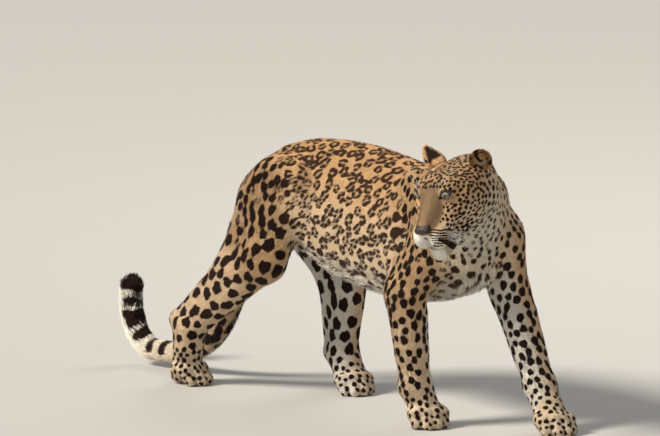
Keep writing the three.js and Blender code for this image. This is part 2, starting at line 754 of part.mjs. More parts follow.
function limbSolids(name, cuts, knee, foot, boxes) {
  const lower = [flipped(knee), foot.cut];
  const low = [flipped(foot.cut), FLOOR];
  return {
    [`${name}_upper`]: steady((nudge) => piece(bodyField, [...cuts, knee], boxes.upper, LEG_CELL, nudge)),
    [`${name}_lower`]: steady((nudge) => piece(foot.form, lower, boxes.lower, LEG_CELL, nudge)),
    [`${name}_paw`]: steady((nudge) => piece(foot.form, low, boxes.paw, PAW_CELL, nudge)),
  };
}

/** The box round some joints, grown by a margin. */
function boxRound(points, margin) {
  const box = new THREE.Box3().setFromPoints(points).expandByScalar(margin);
  return [box.min, box.max];
}

function legs() {
  const made = {};
  const plans = [
    ["fore_right", FORE_RIGHT, "elbow", "wrist", 96, null],
    ["fore_left", FORE_LEFT, "elbow", "wrist", 96, null],
    ["hind_right", HIND_RIGHT, "stifle", "ankle", 86, "heel"],
    ["hind_left", HIND_LEFT, "stifle", "ankle", 86, "heel"],
  ];
  for (const [name, joints, middle, low, width, heel] of plans) {
    const form = footed(joints[low], joints, width, heel ? joints[heel] : null);
    const bone = joints[low].clone().sub(joints[middle]).normalize();
    const knee = cut(between(joints[middle], joints[low], heel ? 0.22 : 0.16), bone);
    const ankle = cut(between(joints[middle], joints[low], heel ? 0.84 : 0.92), bone);
    const top = joints.shoulder || joints.hip;
    const boxes = {
      upper: boxRound([top, joints[middle], joints[low]], 130),
      lower: boxRound([joints[middle], joints[low]], 90),
      paw: boxRound([joints[low], joints.ball, joints.toes, heel ? joints[heel] : joints[low]], 60),
    };
    boxes.paw[0].z = -12;
    const foot = { form, cut: ankle };
    Object.assign(made, limbSolids(name, ROOTS[name], knee, foot, boxes));
  }
  return made;
}

function trunkSolid(nudge) {
  const tailCut = cut(tailCurve.getPointAt(0.09), tailCurve.getTangentAt(0.09));
  const box = [at(-730, -200, 200), at(260, 200, 640)];
  let trunk = piece(bodyField, [NECK_CUT, tailCut], box, TRUNK_CELL, nudge);
  for (const cuts of Object.values(ROOTS)) trunk = trunk.subtract(block(cuts, GAP / 2));
  return largest(trunk);
}

const neckBox = [at(0, -240, 330), at(330, 110, 720)];
const neckCuts = [flipped(NECK_CUT), flipped(NAPE_CUT)];
const everything = {
  torso: steady(trunkSolid),
  neck: steady((nudge) => piece(bodyField, neckCuts, neckBox, NECK_CELL, nudge)),
  ...headSolids(),
  ...legs(),
  tail_root: tailPiece(0.09, 0.32, 8, false),
  tail_hanging: tailPiece(0.32, 0.56, 10, false),
  tail_trailing: tailPiece(0.56, 0.8, 10, false),
  tail_end: tailPiece(0.8, 1, 10, true),
};

const COATS = {
  fur: { color: 0xc89a5e, roughness: 0.85 },
  eye: { color: 0xb9b27a, roughness: 0.12 },
  nose: { color: 0x3a2a28, roughness: 0.45 },
};
const coatOf = (name) => (name.startsWith("eye") ? "eye" : name === "nose" ? "nose" : "fur");

const leopard = new THREE.Group();
for (const [name, made] of Object.entries(everything)) {
  const mesh = new THREE.Mesh(geometryOf(made), new THREE.MeshStandardMaterial(COATS[coatOf(name)]));
  mesh.name = name;
  leopard.add(mesh);
}
const bounds = new THREE.Box3().setFromObject(leopard);
const middle = bounds.getCenter(at(0, 0, 0));
leopard.position.set(-middle.x, -middle.y, -bounds.min.z);

export default leopard;
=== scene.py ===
"""A life-size leopard in mid stride, its head turned back over its right shoulder.

The skin is one mesh settled on the animal's form, a little inside the solids' surface. The coat is made
of thin solid tufts that follow its lie, and skin and coat carry the same markings.
"""

from __future__ import annotations

import logging
import math
from dataclasses import dataclass, field
from enum import Enum
from typing import Callable, Iterable, Sequence

import bmesh
import bpy
import numpy as np
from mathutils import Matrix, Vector

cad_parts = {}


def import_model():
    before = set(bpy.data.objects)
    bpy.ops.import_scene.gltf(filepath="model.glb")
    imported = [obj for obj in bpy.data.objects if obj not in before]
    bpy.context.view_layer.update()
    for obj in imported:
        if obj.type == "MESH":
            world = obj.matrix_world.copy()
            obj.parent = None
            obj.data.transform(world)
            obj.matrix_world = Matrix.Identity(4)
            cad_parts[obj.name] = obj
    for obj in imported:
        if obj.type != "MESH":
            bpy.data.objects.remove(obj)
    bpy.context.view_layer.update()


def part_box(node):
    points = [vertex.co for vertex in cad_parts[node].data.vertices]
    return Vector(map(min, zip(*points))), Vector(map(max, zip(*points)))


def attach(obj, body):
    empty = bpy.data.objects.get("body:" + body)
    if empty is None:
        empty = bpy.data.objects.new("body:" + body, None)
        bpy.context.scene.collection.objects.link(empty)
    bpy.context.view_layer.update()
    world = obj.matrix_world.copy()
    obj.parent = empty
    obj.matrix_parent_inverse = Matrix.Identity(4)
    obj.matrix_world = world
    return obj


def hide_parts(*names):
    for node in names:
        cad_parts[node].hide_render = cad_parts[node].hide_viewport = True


LOG = logging.getLogger("leopard")
MM = 0.001
Form = Callable[[np.ndarray], np.ndarray]
Triple = Sequence[float]


def unit(vectors: np.ndarray) -> np.ndarray:
    """The vectors, each scaled to length one.

    Args:
        vectors: One vector, or one in each row.

    Returns:
        An array of the same shape.
    """
    size = np.linalg.norm(vectors, axis=-1, keepdims=True)
    return vectors / np.maximum(size, 1e-9)


def ease(low: float, high: float, values: np.ndarray) -> np.ndarray:
    """A smooth step from 0 at low to 1 at high.

    Args:
        low: The value at which the step starts.
        high: The value at which it ends, which may be below low.
        values: What is stepped.

    Returns:
        Numbers from 0 to 1.
    """
    share = np.clip((values - low) / (high - low), 0.0, 1.0)
    return share * share * (3.0 - 2.0 * share)


def between(a: Triple, b: Triple, share: float) -> np.ndarray:
    """The point at a share of the way from a to b."""
    return np.asarray(a, float) + (np.asarray(b, float) - np.asarray(a, float)) * share


# Forms as distances, in millimetres, in the walking frame: +X runs from the pelvis to the withers.


def limb(a: Triple, b: Triple, ra: float, rb: float, flat: Triple = (0, 1, 0), squash: float = 1.0) -> Form:
    """A limb that tapers from a to b.

    Args:
        a: Its first end.
        b: Its other end.
        ra: Its radius at a.
        rb: Its radius at b.
        flat: The direction across which it is squashed.
        squash: How thick it is across flat, as a share of its radius.

    Returns:
        The form.
    """
    start, along, across = np.asarray(a, float), np.subtract(b, a), np.asarray(flat, float)
    extra = 1.0 / squash - 1.0

    def form(p: np.ndarray) -> np.ndarray:
        q = p - start
        t = np.clip(q @ along / (along @ along), 0.0, 1.0)
        q = q - t[:, None] * along
        q = q + (q @ across * extra)[:, None] * across
        return np.linalg.norm(q, axis=1) - (ra + (rb - ra) * t)

    return form


def egg(centre: Triple, rx: float, ry: float, rz: float) -> Form:
    """An egg with its own three radii along x, y and z."""
    middle, radii = np.asarray(centre, float), np.array([rx, ry, rz], float)

    def form(p: np.ndarray) -> np.ndarray:
        q = (p - middle) / radii
        near = np.linalg.norm(q, axis=1)
        slope = np.maximum(np.linalg.norm(q / radii, axis=1), 1e-6)
        return near * (near - 1.0) / slope

    return form


def joined(nearest: np.ndarray, other: np.ndarray, width: float) -> np.ndarray:
    """Two distances joined so that one form flows into the other over a width."""
    overlap = np.maximum(width - np.abs(nearest - other), 0.0) / width
    return np.minimum(nearest, other) - overlap * overlap * width / 4.0


def flesh(forms: Iterable[tuple[Form, float]]) -> Form:
    """Joins forms, each given with the width over which it flows into the others."""
    parts = list(forms)

    def form(p: np.ndarray) -> np.ndarray:
        nearest = parts[0][0](p)
        for other, width in parts[1:]:
            nearest = joined(nearest, other(p), width)
        return nearest

    return form


def nearby(form: Form, centre: Triple, reach: float) -> Form:
    """The form where it is worked out, within a reach of its centre, and only a large distance beyond."""
    middle = np.asarray(centre, float)

    def bounded(p: np.ndarray) -> np.ndarray:
        away = np.linalg.norm(p - middle, axis=1)
        close = away < reach
        away[close] = form(p[close])
        away[~close] += 200.0
        return away

    return bounded


class SmoothLine:
    """A centripetal Catmull-Rom curve through points."""

    def __init__(self, points: Sequence[Triple]) -> None:
        """Keeps the points, with one more past each end."""
        p = np.asarray(points, float)
        self.count = len(p)
        self.points = np.vstack([2 * p[0] - p[1], p, 2 * p[-1] - p[-2]])

    def at(self, share: float) -> np.ndarray:
        """The point at a share of the curve's points."""
        place = (self.count - 1) * share
        i = min(int(place), self.count - 2)
        t = place - i
        p0, p1, p2, p3 = self.points[i : i + 4]
        d0, d1, d2 = (max(float(np.linalg.norm(b - a)) ** 0.5, 1e-4) for a, b in ((p0, p1), (p1, p2), (p2, p3)))
        m1 = ((p1 - p0) / d0 - (p2 - p0) / (d0 + d1) + (p2 - p1) / d1) * d1
        m2 = ((p2 - p1) / d1 - (p3 - p1) / (d1 + d2) + (p3 - p2) / d2) * d1
        return p1 + m1 * t + (3 * (p2 - p1) - 2 * m1 - m2) * t * t + (2 * (p1 - p2) + m1 + m2) * t**3

    def evenly(self, count: int) -> np.ndarray:
        """Points at even lengths along the curve."""
        fine = np.array([self.at(s) for s in np.linspace(0, 1, 241)])
        length = np.concatenate([[0], np.cumsum(np.linalg.norm(np.diff(fine, axis=0), axis=1))])
        wanted = np.linspace(0, length[-1], count)
        return np.stack([np.interp(wanted, length, fine[:, k]) for k in range(3)], axis=1)


class Side(Enum):
    """A side of the animal, with its sign along the head's or the body's y."""

    LEFT = 1
    RIGHT = -1


@dataclass(frozen=True)
class Trunk:
    """The trunk from the root of the tail to the front of the chest, at stations along the spine."""

    # x, the spine's sideways place, top, bottom and half the width
    stations: tuple[tuple[float, ...], ...] = (
        (-650, -12, 480, 420, 20),
        (-626, -11, 520, 392, 46),
        (-590, -8, 552, 378, 62),
        (-541, -2, 583, 362, 76),
        (-456, 12, 606, 326, 90),
        (-370, 22, 611, 286, 102),
        (-276, 26, 608, 272, 112),
        (-180, 22, 597, 266, 119),
        (-90, 13, 586, 270, 118),
        (0, 0, 584, 284, 106),
        (60, -10, 568, 302, 92),
        (112, -20, 536, 318, 76),
        (156, -24, 490, 350, 50),
    )
    pear: float = 0.13  # how much narrower it is at its top than at its middle
    steps: int = 8

    def lines(self) -> np.ndarray:
        """The stations with smooth ones between them, one in each row."""
        data = np.asarray(self.stations, float)
        rows = []
        last = len(data) - 1
        curves = [SmoothLine([(i, v, 0) for i, v in enumerate(data[:, k])]) for k in range(1, 5)]
        for i in range(last * self.steps + 1):
            share = i / (last * self.steps)
            x = np.interp(i / self.steps, np.arange(last + 1), data[:, 0])
            rows.append([x, *(curve.at(share)[1] for curve in curves)])
        return np.array(rows)

    def place(self, p: np.ndarray) -> tuple[np.ndarray, np.ndarray, np.ndarray, np.ndarray]:
        """Where points lie on the trunk.

        Args:
            p: Points in the walking frame.

        Returns:
            Their sideways place and their height, each about -1 to 1, and half the width and height there.
        """
        rows = self.lines()
        y, top, bottom, half = (np.interp(p[:, 0], rows[:, 0], rows[:, k]) for k in range(1, 5))
        tall = (top - bottom) / 2
        up = (p[:, 2] - (top + bottom) / 2) / tall
        half = half * (1 - self.pear * np.clip(up, -1.3, 1.3))
        return (p[:, 1] - y) / half, up, half, tall

    def form(self) -> Form:
        """The trunk's form."""
        first, last = self.stations[0][0], self.stations[-1][0]

        def ring(p: np.ndarray) -> np.ndarray:
            aside, up, half, tall = self.place(p)
            value = (np.hypot(aside, up) - 1) * np.minimum(half, tall)
            beyond = np.maximum(np.maximum(first - p[:, 0], p[:, 0] - last), 0)
            return np.where(beyond > 0, np.hypot(np.maximum(value, 0), beyond), value)

        return ring


@dataclass(frozen=True)
class Foreleg:
    """The joints of a foreleg and the muscles round them."""

    blade: Triple
    shoulder: Triple
    elbow: Triple
    wrist: Triple
    ball: Triple
    toes: Triple
    left: tuple[float, float, float] = (0.14, 0.99, 0)
    foot_width: float = 96

    def bones(self) -> list[tuple[np.ndarray, np.ndarray, float]]:
        """The stretches of the leg with about half their thickness, from the top down."""
        names = (self.blade, self.shoulder, self.elbow, self.wrist, self.ball, self.toes)
        thick = (52, 54, 42, 35, 24)
        return [(np.asarray(a, float), np.asarray(b, float), r) for a, b, r in zip(names, names[1:], thick)]

    def muscles(self) -> list[tuple[Form, float]]:
        """The forms down to the wrist."""
        point = np.add(self.elbow, (-26, 0, 16))
        rear = np.add(self.blade, (-30, 0, -70))
        front = between(self.elbow, self.wrist, 0.22) + (6, 0, 0)
        return [
            (limb(self.blade, self.shoulder, 42, 57, self.left, 0.62), 34),
            (limb(rear, point, 54, 30, self.left, 0.66), 36),
            (limb(self.shoulder, self.elbow, 62, 50, self.left, 0.8), 36),
            (limb(self.elbow, self.wrist, 44, 37, self.left, 0.98), 26),
            (limb(point, between(self.elbow, self.wrist, 0.3), 22, 24), 22),
            (limb(front, between(self.elbow, self.wrist, 0.62), 38, 31), 22),
        ]

    def foot(self) -> list[tuple[Form, float]]:
        """The forms of the foot."""
        forward = unit(np.subtract(self.toes, self.ball) * (1, 1, 0))
        carpal = (egg(np.add(self.wrist, forward * -26) + (0, 0, -16), 13, 14, 16), 14)
        return foot_forms(np.asarray(self.wrist, float), self, self.foot_width, carpal)


@dataclass(frozen=True)
class Hindleg:
    """The joints of a hind leg and the muscles round them."""

    hip: Triple
    seat: Triple
    stifle: Triple
    ankle: Triple
    heel: Triple
    ball: Triple
    toes: Triple
    left: tuple[float, float, float] = (-0.17, 0.985, 0)
    foot_width: float = 86

    def bones(self) -> list[tuple[np.ndarray, np.ndarray, float]]:
        """The stretches of the leg with about half their thickness, from the top down."""
        names = (self.hip, self.stifle, self.ankle, self.ball, self.toes)
        thick = (66, 46, 30, 22)
        return [(np.asarray(a, float), np.asarray(b, float), r) for a, b, r in zip(names, names[1:], thick)]

    def muscles(self) -> list[tuple[Form, float]]:
        """The forms down to the ankle."""
        crest = np.add(self.hip, (64, 0, 22))
        thigh_front = between(self.hip, self.stifle, 0.4) + (34, 0, 0)
        kneecap = np.add(self.stifle, (14, 0, 6))
        calf = between(self.stifle, self.ankle, 0.26) + (-40, 0, 6)
        return [
            (limb(crest, self.seat, 50, 42, self.left, 0.7), 44),
            (limb(self.hip, self.stifle, 64, 52, self.left, 0.66), 40),
            (limb(thigh_front, kneecap, 62, 44, self.left, 0.66), 30),
            (limb(self.seat, calf, 55, 48, self.left, 0.68), 40),
            (limb(self.stifle, self.ankle, 52, 35, self.left, 0.86), 26),
            (limb(calf, self.heel, 48, 18, self.left, 0.78), 26),
        ]

    def foot(self) -> list[tuple[Form, float]]:
        """The forms of the foot."""
        shin = unit(np.subtract(self.ball, self.ankle))
        forward = unit(np.subtract(self.toes, self.ball) * (1, 1, 0))
        side = np.array([-forward[1], forward[0], 0])
        behind = between(self.ankle, self.ball, 0.3) + shin * 10
        heel = (limb(self.heel, behind, 19, 27, side, 0.9), 22)
        return foot_forms(np.asarray(self.ankle, float), self, self.foot_width, heel)


def foot_forms(root: np.ndarray, leg: Foreleg | Hindleg, width: float, rear: tuple[Form, float]) -> list:
    """A foot below the wrist or ankle.

    Args:
        root: The wrist or ankle.
        leg: The leg, for its ball and toes.
        width: How wide the foot is.
        rear: The form at its back, with its width of flow.

    Returns:
        The long bones, the pad, the rear form and four toes with raised knuckles.
    """
    ball, toes = np.asarray(leg.ball, float), np.asarray(leg.toes, float)
    forward = unit((toes - ball) * (1, 1, 0))
    side = np.array([-forward[1], forward[0], 0])
    forms = [
        (limb(root, ball + (0, 0, 7), 35, 33, side, 1.1), 20),
        (egg(ball + (0, 0, -13) - forward * 2, 34, 34, 19), 12),
        rear,
    ]
    for rank in (-1.5, -0.5, 0.5, 1.5):
        outer = 1 if abs(rank) > 1 else 0
        start = ball + side * rank * width * 0.2 + (0, 0, 10 - 4 * outer)
        tip = toes + side * rank * width * 0.225 - forward * 15 * outer
        knuckle = between(start, tip, 0.5) + (0, 0, 9)
        forms.append((limb(start, knuckle, 19, 18.5), 9))
        forms.append((limb(knuckle, tip, 18.5, 15), 5))
    return forms


@dataclass(frozen=True)
class Head:
    """The head in its own frame, x towards the nose, y to its left and z up, and its place on the neck."""

    origin: tuple[float, float, float] = (196, -158, 576)
    heading: float = -79
    pitch: float = 28
    roll: float = 6
    eye: tuple[float, float, float] = (60, 38, 39)
    eye_radius: float = 15.5
    eye_outward: float = 26
    eye_upward: float = 22
    lid: float = 2.6
    opening_width: float = 29.5
    opening_height: float = 14
    opening_slant: float = 19
    mouth: tuple[float, float, float] = (46, 0, -55)  # before the muzzle droops
    mouth_slope: float = 0.02
    mouth_sag: float = 6  # how far its corner hangs below a straight line
    nose_tip: tuple[float, float, float] = (146, 0, -15)
    bend_start: float = 36
    bend_end: float = 56
    bend_slope: float = 0.18  # the muzzle droops by this past the end of its bend

    def turn(self) -> np.ndarray:
        """The matrix that turns the head's directions into the animal's."""
        h, p, r = (math.radians(a) for a in (self.heading, self.pitch, self.roll))
        about_z = np.array([[math.cos(h), -math.sin(h), 0], [math.sin(h), math.cos(h), 0], [0, 0, 1]])
        about_y = np.array([[math.cos(p), 0, math.sin(p)], [0, 1, 0], [-math.sin(p), 0, math.cos(p)]])
        about_x = np.array([[1, 0, 0], [0, math.cos(r), -math.sin(r)], [0, math.sin(r), math.cos(r)]])
        return about_z @ about_y @ about_x

    def out(self, p: Triple | np.ndarray) -> np.ndarray:
        """Points of the head's frame in the animal's."""
        return np.asarray(p, float) @ self.turn().T + self.origin

    def into(self, p: np.ndarray) -> np.ndarray:
        """Points of the animal's frame in the head's."""
        return (p - self.origin) @ self.turn()

    def droop(self, x: np.ndarray | float) -> np.ndarray:
        """How far the muzzle hangs below a straight one."""
        length = self.bend_end - self.bend_start
        past = np.maximum(0, np.asarray(x, float) - self.bend_start)
        return self.bend_slope * np.where(past < length, past**2 / (2 * length), past - length / 2)

    def straight(self, q: np.ndarray) -> np.ndarray:
        """Points of the head's frame as they would be on a head whose muzzle doesn't droop."""
        out = q.copy()
        out[:, 2] += self.droop(q[:, 0])
        return out

    def above_mouth(self, q: np.ndarray) -> np.ndarray:
        """How far points of a straight head lie above its mouth."""
        above = (q - self.mouth) @ unit(np.array([-self.mouth_slope, 0, 1]))
        return above + self.mouth_sag * ease(104, 62, q[:, 0])

    def gaze(self, side: Side, outward: float, upward: float) -> np.ndarray:
        """A direction outward and upward, in degrees, from straight ahead."""
        o, u = math.radians(outward) * side.value, math.radians(upward)
        return np.array([math.cos(o) * math.cos(u), math.sin(o) * math.cos(u), math.sin(u)])

    def eye_centre(self, side: Side) -> np.ndarray:
        """The centre of an eyeball, in the head's frame."""
        return np.array(self.eye) * (1, side.value, 1)

    def eye_frame(self, side: Side) -> tuple[np.ndarray, np.ndarray, np.ndarray]:
        """The long and the short direction of the opening between the lids, and the one out of it."""
        look = self.gaze(side, self.eye_outward, self.eye_upward)
        across = unit(np.array([-look[1], look[0], 0]))
        up = np.cross(look, across)
        slant = math.radians(self.opening_slant) * side.value
        long = across * math.cos(slant) + up * math.sin(slant)
        return long, np.cross(look, long), look

    def skull(self) -> list[tuple[Form, float]]:
        """The skull, cheeks and throat."""
        return [
            (egg((-34, 0, 12), 78, 64, 43), 20),
            (egg((20, 0, 30), 64, 52, 36), 20),
            *((egg((8, 50 * s.value, -4), 62, 34, 44), 24) for s in Side),
            *((egg((-18, 44 * s.value, -34), 50, 30, 36), 24) for s in Side),
            (limb((-40, 0, -38), (30, 0, -52), 55, 41), 26),
        ]

    def chin(self) -> list[tuple[Form, float]]:
        """The chin and lower lip."""
        return [
            (limb((30, 0, -54), (112, 0, -70), 38, 24), 16),
            *((limb((26, 32 * s.value, -50), (102, 18 * s.value, -62), 27, 18), 16) for s in Side),
        ]

    def muzzle(self) -> list[tuple[Form, float]]:
        """The muzzle and brows over the mouth."""
        return [
            (limb((36, 0, 33), (126, 0, 4), 32, 23), 22),
            *((limb((50, 32 * s.value, 0), (96, 22 * s.value, -12), 33, 27), 20) for s in Side),
            *((egg((112, 23 * s.value, -22), 38, 26, 33), 9) for s in Side),
            *((limb((18, 52 * s.value, 17), (64, 32 * s.value, 12), 23, 18), 14) for s in Side),
            *((egg((44, 35 * s.value, 50), 30, 20, 12), 24) for s in Side),
        ]

    def plain(self) -> Form:
        """The head without its finest forms, in the animal's frame."""
        form = flesh([*self.skull(), *self.chin(), *self.muzzle()])
        return nearby(lambda p: form(self.straight(self.into(p))), self.origin, 330)

    def opening(self, q: np.ndarray, side: Side) -> tuple[np.ndarray, np.ndarray]:
        """How points lie to the opening between an eye's lids.

        Args:
            q: Points in the head's frame.
            side: The eye.

        Returns:
            The distance outside the almond of the opening, and the distance from the eyeball's centre.
        """
        long, short, look = self.eye_frame(side)
        r = q - self.eye_centre(side)
        a, b, c = r @ long, r @ short, r @ look
        half = self.opening_width / 2
        lift = np.clip(1 - (a / half) ** 2, 0, None)
        top, bottom = 0.575 * self.opening_height * lift, 0.425 * self.opening_height * lift
        edge = np.maximum(np.where(b > 0, b - top, -b - bottom), np.abs(a) - half)
        edge = np.where(c > 0, edge, 60.0)
        return edge, np.linalg.norm(r, axis=1)

    def refine(self, plain: np.ndarray, p: np.ndarray) -> np.ndarray:
        """Adds lids, the mouth's groove and the cleft under the nose to the head.

        Args:
            plain: The distances without them.
            p: The points in the animal's frame.

        Returns:
            The distances with them.
        """
        q = self.into(p)
        value = plain
        for side in Side:
            edge, away = self.opening(q, side)
            value = joined(value, away - (self.eye_radius + self.lid), 6)
            value = np.maximum(value, -joined(edge, edge, 1.2))
            value = np.minimum(value, away - (self.eye_radius - 1.2))
        q = self.straight(q)
        above = self.above_mouth(q)
        groove = np.maximum.reduce([np.abs(above) - 1.6, -plain - 5.0, self.mouth[0] + 12 - q[:, 0]])
        cleft = np.maximum.reduce([np.abs(q[:, 1]) - 1.4, -plain - 3.0, 124 - q[:, 0], q[:, 2] + 12, -q[:, 2] - 54])
        return -joined(-value, joined(groove, cleft, 1.0), 1.6)


@dataclass(frozen=True)
class Tail:
    """The tail along its curve."""

    path: tuple[tuple[float, float, float], ...] = (
        (-592, -11, 492),
        (-638, -11, 458),
        (-680, -9, 370),
        (-708, -4, 270),
        (-744, 0, 176),
        (-796, 0, 102),
        (-872, 0, 54),
        (-954, -2, 40),
        (-1028, -5, 44),
        (-1066, -8, 82),
        (-1082, -10, 134),
        (-1080, -12, 174),
        (-1070, -13, 204),
    )
    root: float = 29
    middle: float = 26
    end: float = 27
    round_end: float = 34
    count: int = 90

    def line(self) -> np.ndarray:
        """Points at even lengths along the tail."""
        return SmoothLine(self.path).evenly(self.count)

    def nearest(self, p: np.ndarray) -> tuple[np.ndarray, np.ndarray]:
        """Distances from the tail's middle line, and the share of its length at the nearest point."""
        line = self.line()
        best, share = np.full(len(p), 1e6), np.zeros(len(p))
        for i, (a, b) in enumerate(zip(line, line[1:])):
            along = b - a
            t = np.clip((p - a) @ along / (along @ along), 0, 1)
            away = np.linalg.norm(p - a - t[:, None] * along, axis=1)
            closer = away < best
            best = np.where(closer, away, best)
            share = np.where(closer, (i + t) / (len(line) - 1), share)
        return best, share

    def radius(self, share: np.ndarray) -> np.ndarray:
        """The tail's radius at shares of its length, before its end is rounded."""
        return np.interp(share, (0, 0.5, 1), (self.root, self.middle, self.end))

    def form(self) -> Form:
        """The tail past its root, as a tube whose end is round."""
        line = self.line()
        length = float(np.linalg.norm(np.diff(line, axis=0), axis=1).sum())
        last = 1 - self.end / length

        def tube(p: np.ndarray) -> np.ndarray:
            out = np.full(len(p), 400.0)
            close = p[:, 0] < -560
            away, share = self.nearest(p[close])
            short = np.minimum(share, last)
            pulled = np.hypot(away, (share - short) * length)
            inside = np.where(share > last, pulled, away)
            out[close] = inside - self.radius(share)
            return out

        return tube


@dataclass(frozen=True)
class Animal:
    """The whole animal's forms, in millimetres in the walking frame."""

    trunk: Trunk = Trunk()
    head: Head = Head()
    tail: Tail = Tail()
    fore_right: Foreleg = Foreleg(
        blade=(-52, -46, 546),
        shoulder=(61, -84, 445),
        elbow=(-18, -114, 304),
        wrist=(0, -98, 94),
        ball=(24, -86, 28),
        toes=(64, -103, 12),
    )
    fore_left: Foreleg = Foreleg(
        blade=(8, 34, 552),
        shoulder=(122, 55, 432),
        elbow=(122, 86, 302),
        wrist=(226, 82, 104),
        ball=(284, 66, 30),
        toes=(334, 54, 12),
    )
    hind_right: Hindleg = Hindleg(
        hip=(-532, -56, 486),
        seat=(-590, -48, 446),
        stifle=(-530, -92, 322),
        ankle=(-756, -116, 140),
        heel=(-793, -122, 153),
        ball=(-786, -104, 30),
        toes=(-732, -97, 12),
    )
    hind_left: Hindleg = Hindleg(
        hip=(-544, 56, 486),
        seat=(-606, 34, 446),
        stifle=(-454, 110, 316),
        ankle=(-476, 106, 88),
        heel=(-519, 110, 84),
        ball=(-430, 92, 29),
        toes=(-382, 73, 12),
    )
    withers: tuple[float, float, float] = (40, -12, 478)
    nape_root: tuple[float, float, float] = (119, -42, 522)
    chest: tuple[float, float, float] = (112, -40, 440)
    nape: tuple[float, float, float] = (-66, 0, -14)  # in the head's frame, as the throat is
    throat: tuple[float, float, float] = (-46, 0, -40)

    def legs(self) -> tuple[Foreleg | Hindleg, ...]:
        """The four legs."""
        return self.fore_right, self.fore_left, self.hind_right, self.hind_left

    def neck(self) -> list[tuple[Form, float]]:
        """The forms of the neck."""
        nape, throat = self.head.out(self.nape), self.head.out(self.throat)
        return [
            (limb(self.withers, self.nape_root, 98, 79), 36),
            (limb(self.nape_root, nape, 79, 59), 30),
            (limb(throat, self.chest, 54, 74), 40),
            (limb((118, -8, 540), (96, 10, 470), 64, 86), 30),
        ]

    def body(self) -> Form:
        """The plain form of the whole animal."""
        line = self.tail.line()
        start, near_root, past_root = (line[round(s * (len(line) - 1))] for s in (0, 0.06, 0.16))
        forms = [(self.trunk.form(), 40), *self.neck(), (self.head.plain(), 34)]
        for leg in self.legs():
            forms += leg.muscles()
        forms.append((limb(start, near_root, 36, 31), 36))
        forms.append((limb(near_root, past_root, 31, self.tail.root), 20))
        for leg in self.legs():
            foot = flesh(leg.foot())
            forms.append((nearby(foot, leg.ball, 260), 16))
        forms.append((self.tail.form(), 8))
        return flesh(forms)

    def form(self) -> Form:
        """The whole animal with the finest forms of its head."""
        body = self.body()
        centre = np.asarray(self.head.origin, float)

        def fine(p: np.ndarray) -> np.ndarray:
            value = body(p)
            close = np.linalg.norm(p - centre, axis=1) < 220
            value[close] = self.head.refine(value[close], p[close])
            return value

        return fine


def gradient(form: Form, p: np.ndarray, value: np.ndarray, step: float = 0.6) -> np.ndarray:
    """The slope of a form at points, from forward steps."""
    slope = np.empty_like(p)
    for k in range(3):
        moved = p.copy()
        moved[:, k] += step
        slope[:, k] = (form(moved) - value) / step
    return slope


@dataclass
class Place:
    """Carries points between the walking frame, in millimetres, and the row's frame, in metres."""

    shift: np.ndarray

    @classmethod
    def found(cls, animal: Animal) -> Place:
        """The place of the animal, from the centre of its left eye."""
        low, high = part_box("eye_left")
        seen = np.array((Vector(low) + Vector(high)) / 2) / MM
        meant = animal.head.out(animal.head.eye_centre(Side.LEFT))
        return cls(seen - meant)

    def out(self, p: np.ndarray) -> np.ndarray:
        """Points of the walking frame in the row's."""
        return (p + self.shift) * MM

    def into(self, p: np.ndarray) -> np.ndarray:
        """Points of the row's frame in the walking frame."""
        return p / MM - self.shift


def alone(obj: bpy.types.Object) -> None:
    """Selects one object and makes it active."""
    bpy.ops.object.select_all(action="DESELECT")
    obj.select_set(True)
    bpy.context.view_layer.objects.active = obj


def corners(mesh: bpy.types.Mesh) -> np.ndarray:
    """The places of a mesh's vertices, one in each row."""
    flat = np.empty(len(mesh.vertices) * 3)
    mesh.vertices.foreach_get("co", flat)
    return flat.reshape(-1, 3)


def set_corners(mesh: bpy.types.Mesh, p: np.ndarray) -> None:
    """Moves a mesh's vertices."""
    mesh.vertices.foreach_set("co", np.ascontiguousarray(p, dtype=np.float32).ravel())
    mesh.update()


FLESH = (
    "torso", "neck", "head", "lower_jaw",
    *(f"{end}_{side}_{part}" for end in ("fore", "hind") for side in ("right", "left")
      for part in ("upper", "lower", "paw")),
    "tail_root", "tail_hanging", "tail_trailing", "tail_end",
)  # fmt: skip
SOCKETS = ("eye_left", "eye_right", "nose")
BODY = "root"


class Region(Enum):
    """A stretch of the coat."""

    BACK = 0
    BELLY = 1
    NECK = 2
    CHEST = 3
    SHOULDER = 4
    THIGH = 5
    SHIN = 6
    FOOT = 7
    CROWN = 8
    CHEEK = 9
    MUZZLE = 10
    TAIL = 11
    TAIL_END = 12


@dataclass(frozen=True)
class Growth:
    """How the coat grows in a region, in millimetres and degrees."""

    length: float
    width: float
    lift: float  # how steeply a tuft stands on the skin
    depth: float  # how far the skin lies under the coat's outside
    patch: float  # the skin for one tuft, in square millimetres


GROWTH = {
    Region.BACK: Growth(8.5, 1.7, 13, 2.6, 4.2),
    Region.BELLY: Growth(30, 2.3, 30, 8.0, 9.0),
    Region.NECK: Growth(8.0, 1.4, 16, 3.0, 3.4),
    Region.CHEST: Growth(10, 1.6, 20, 4.2, 4.6),
    Region.SHOULDER: Growth(9.5, 1.7, 14, 2.6, 4.6),
    Region.THIGH: Growth(12, 1.9, 14, 3.0, 5.6),
    Region.SHIN: Growth(9.5, 1.6, 15, 2.2, 4.6),
    Region.FOOT: Growth(7.0, 1.3, 17, 1.6, 3.2),
    Region.CROWN: Growth(5.0, 1.0, 17, 1.6, 1.7),
    Region.CHEEK: Growth(6.5, 1.1, 20, 2.4, 2.1),
    Region.MUZZLE: Growth(3.8, 0.85, 17, 1.1, 1.6),
    Region.TAIL: Growth(15, 1.9, 18, 4.0, 6.2),
    Region.TAIL_END: Growth(21, 2.0, 24, 6.0, 6.6),
}
LONG_HAIRED = (Region.BELLY, Region.CHEST, Region.TAIL_END)


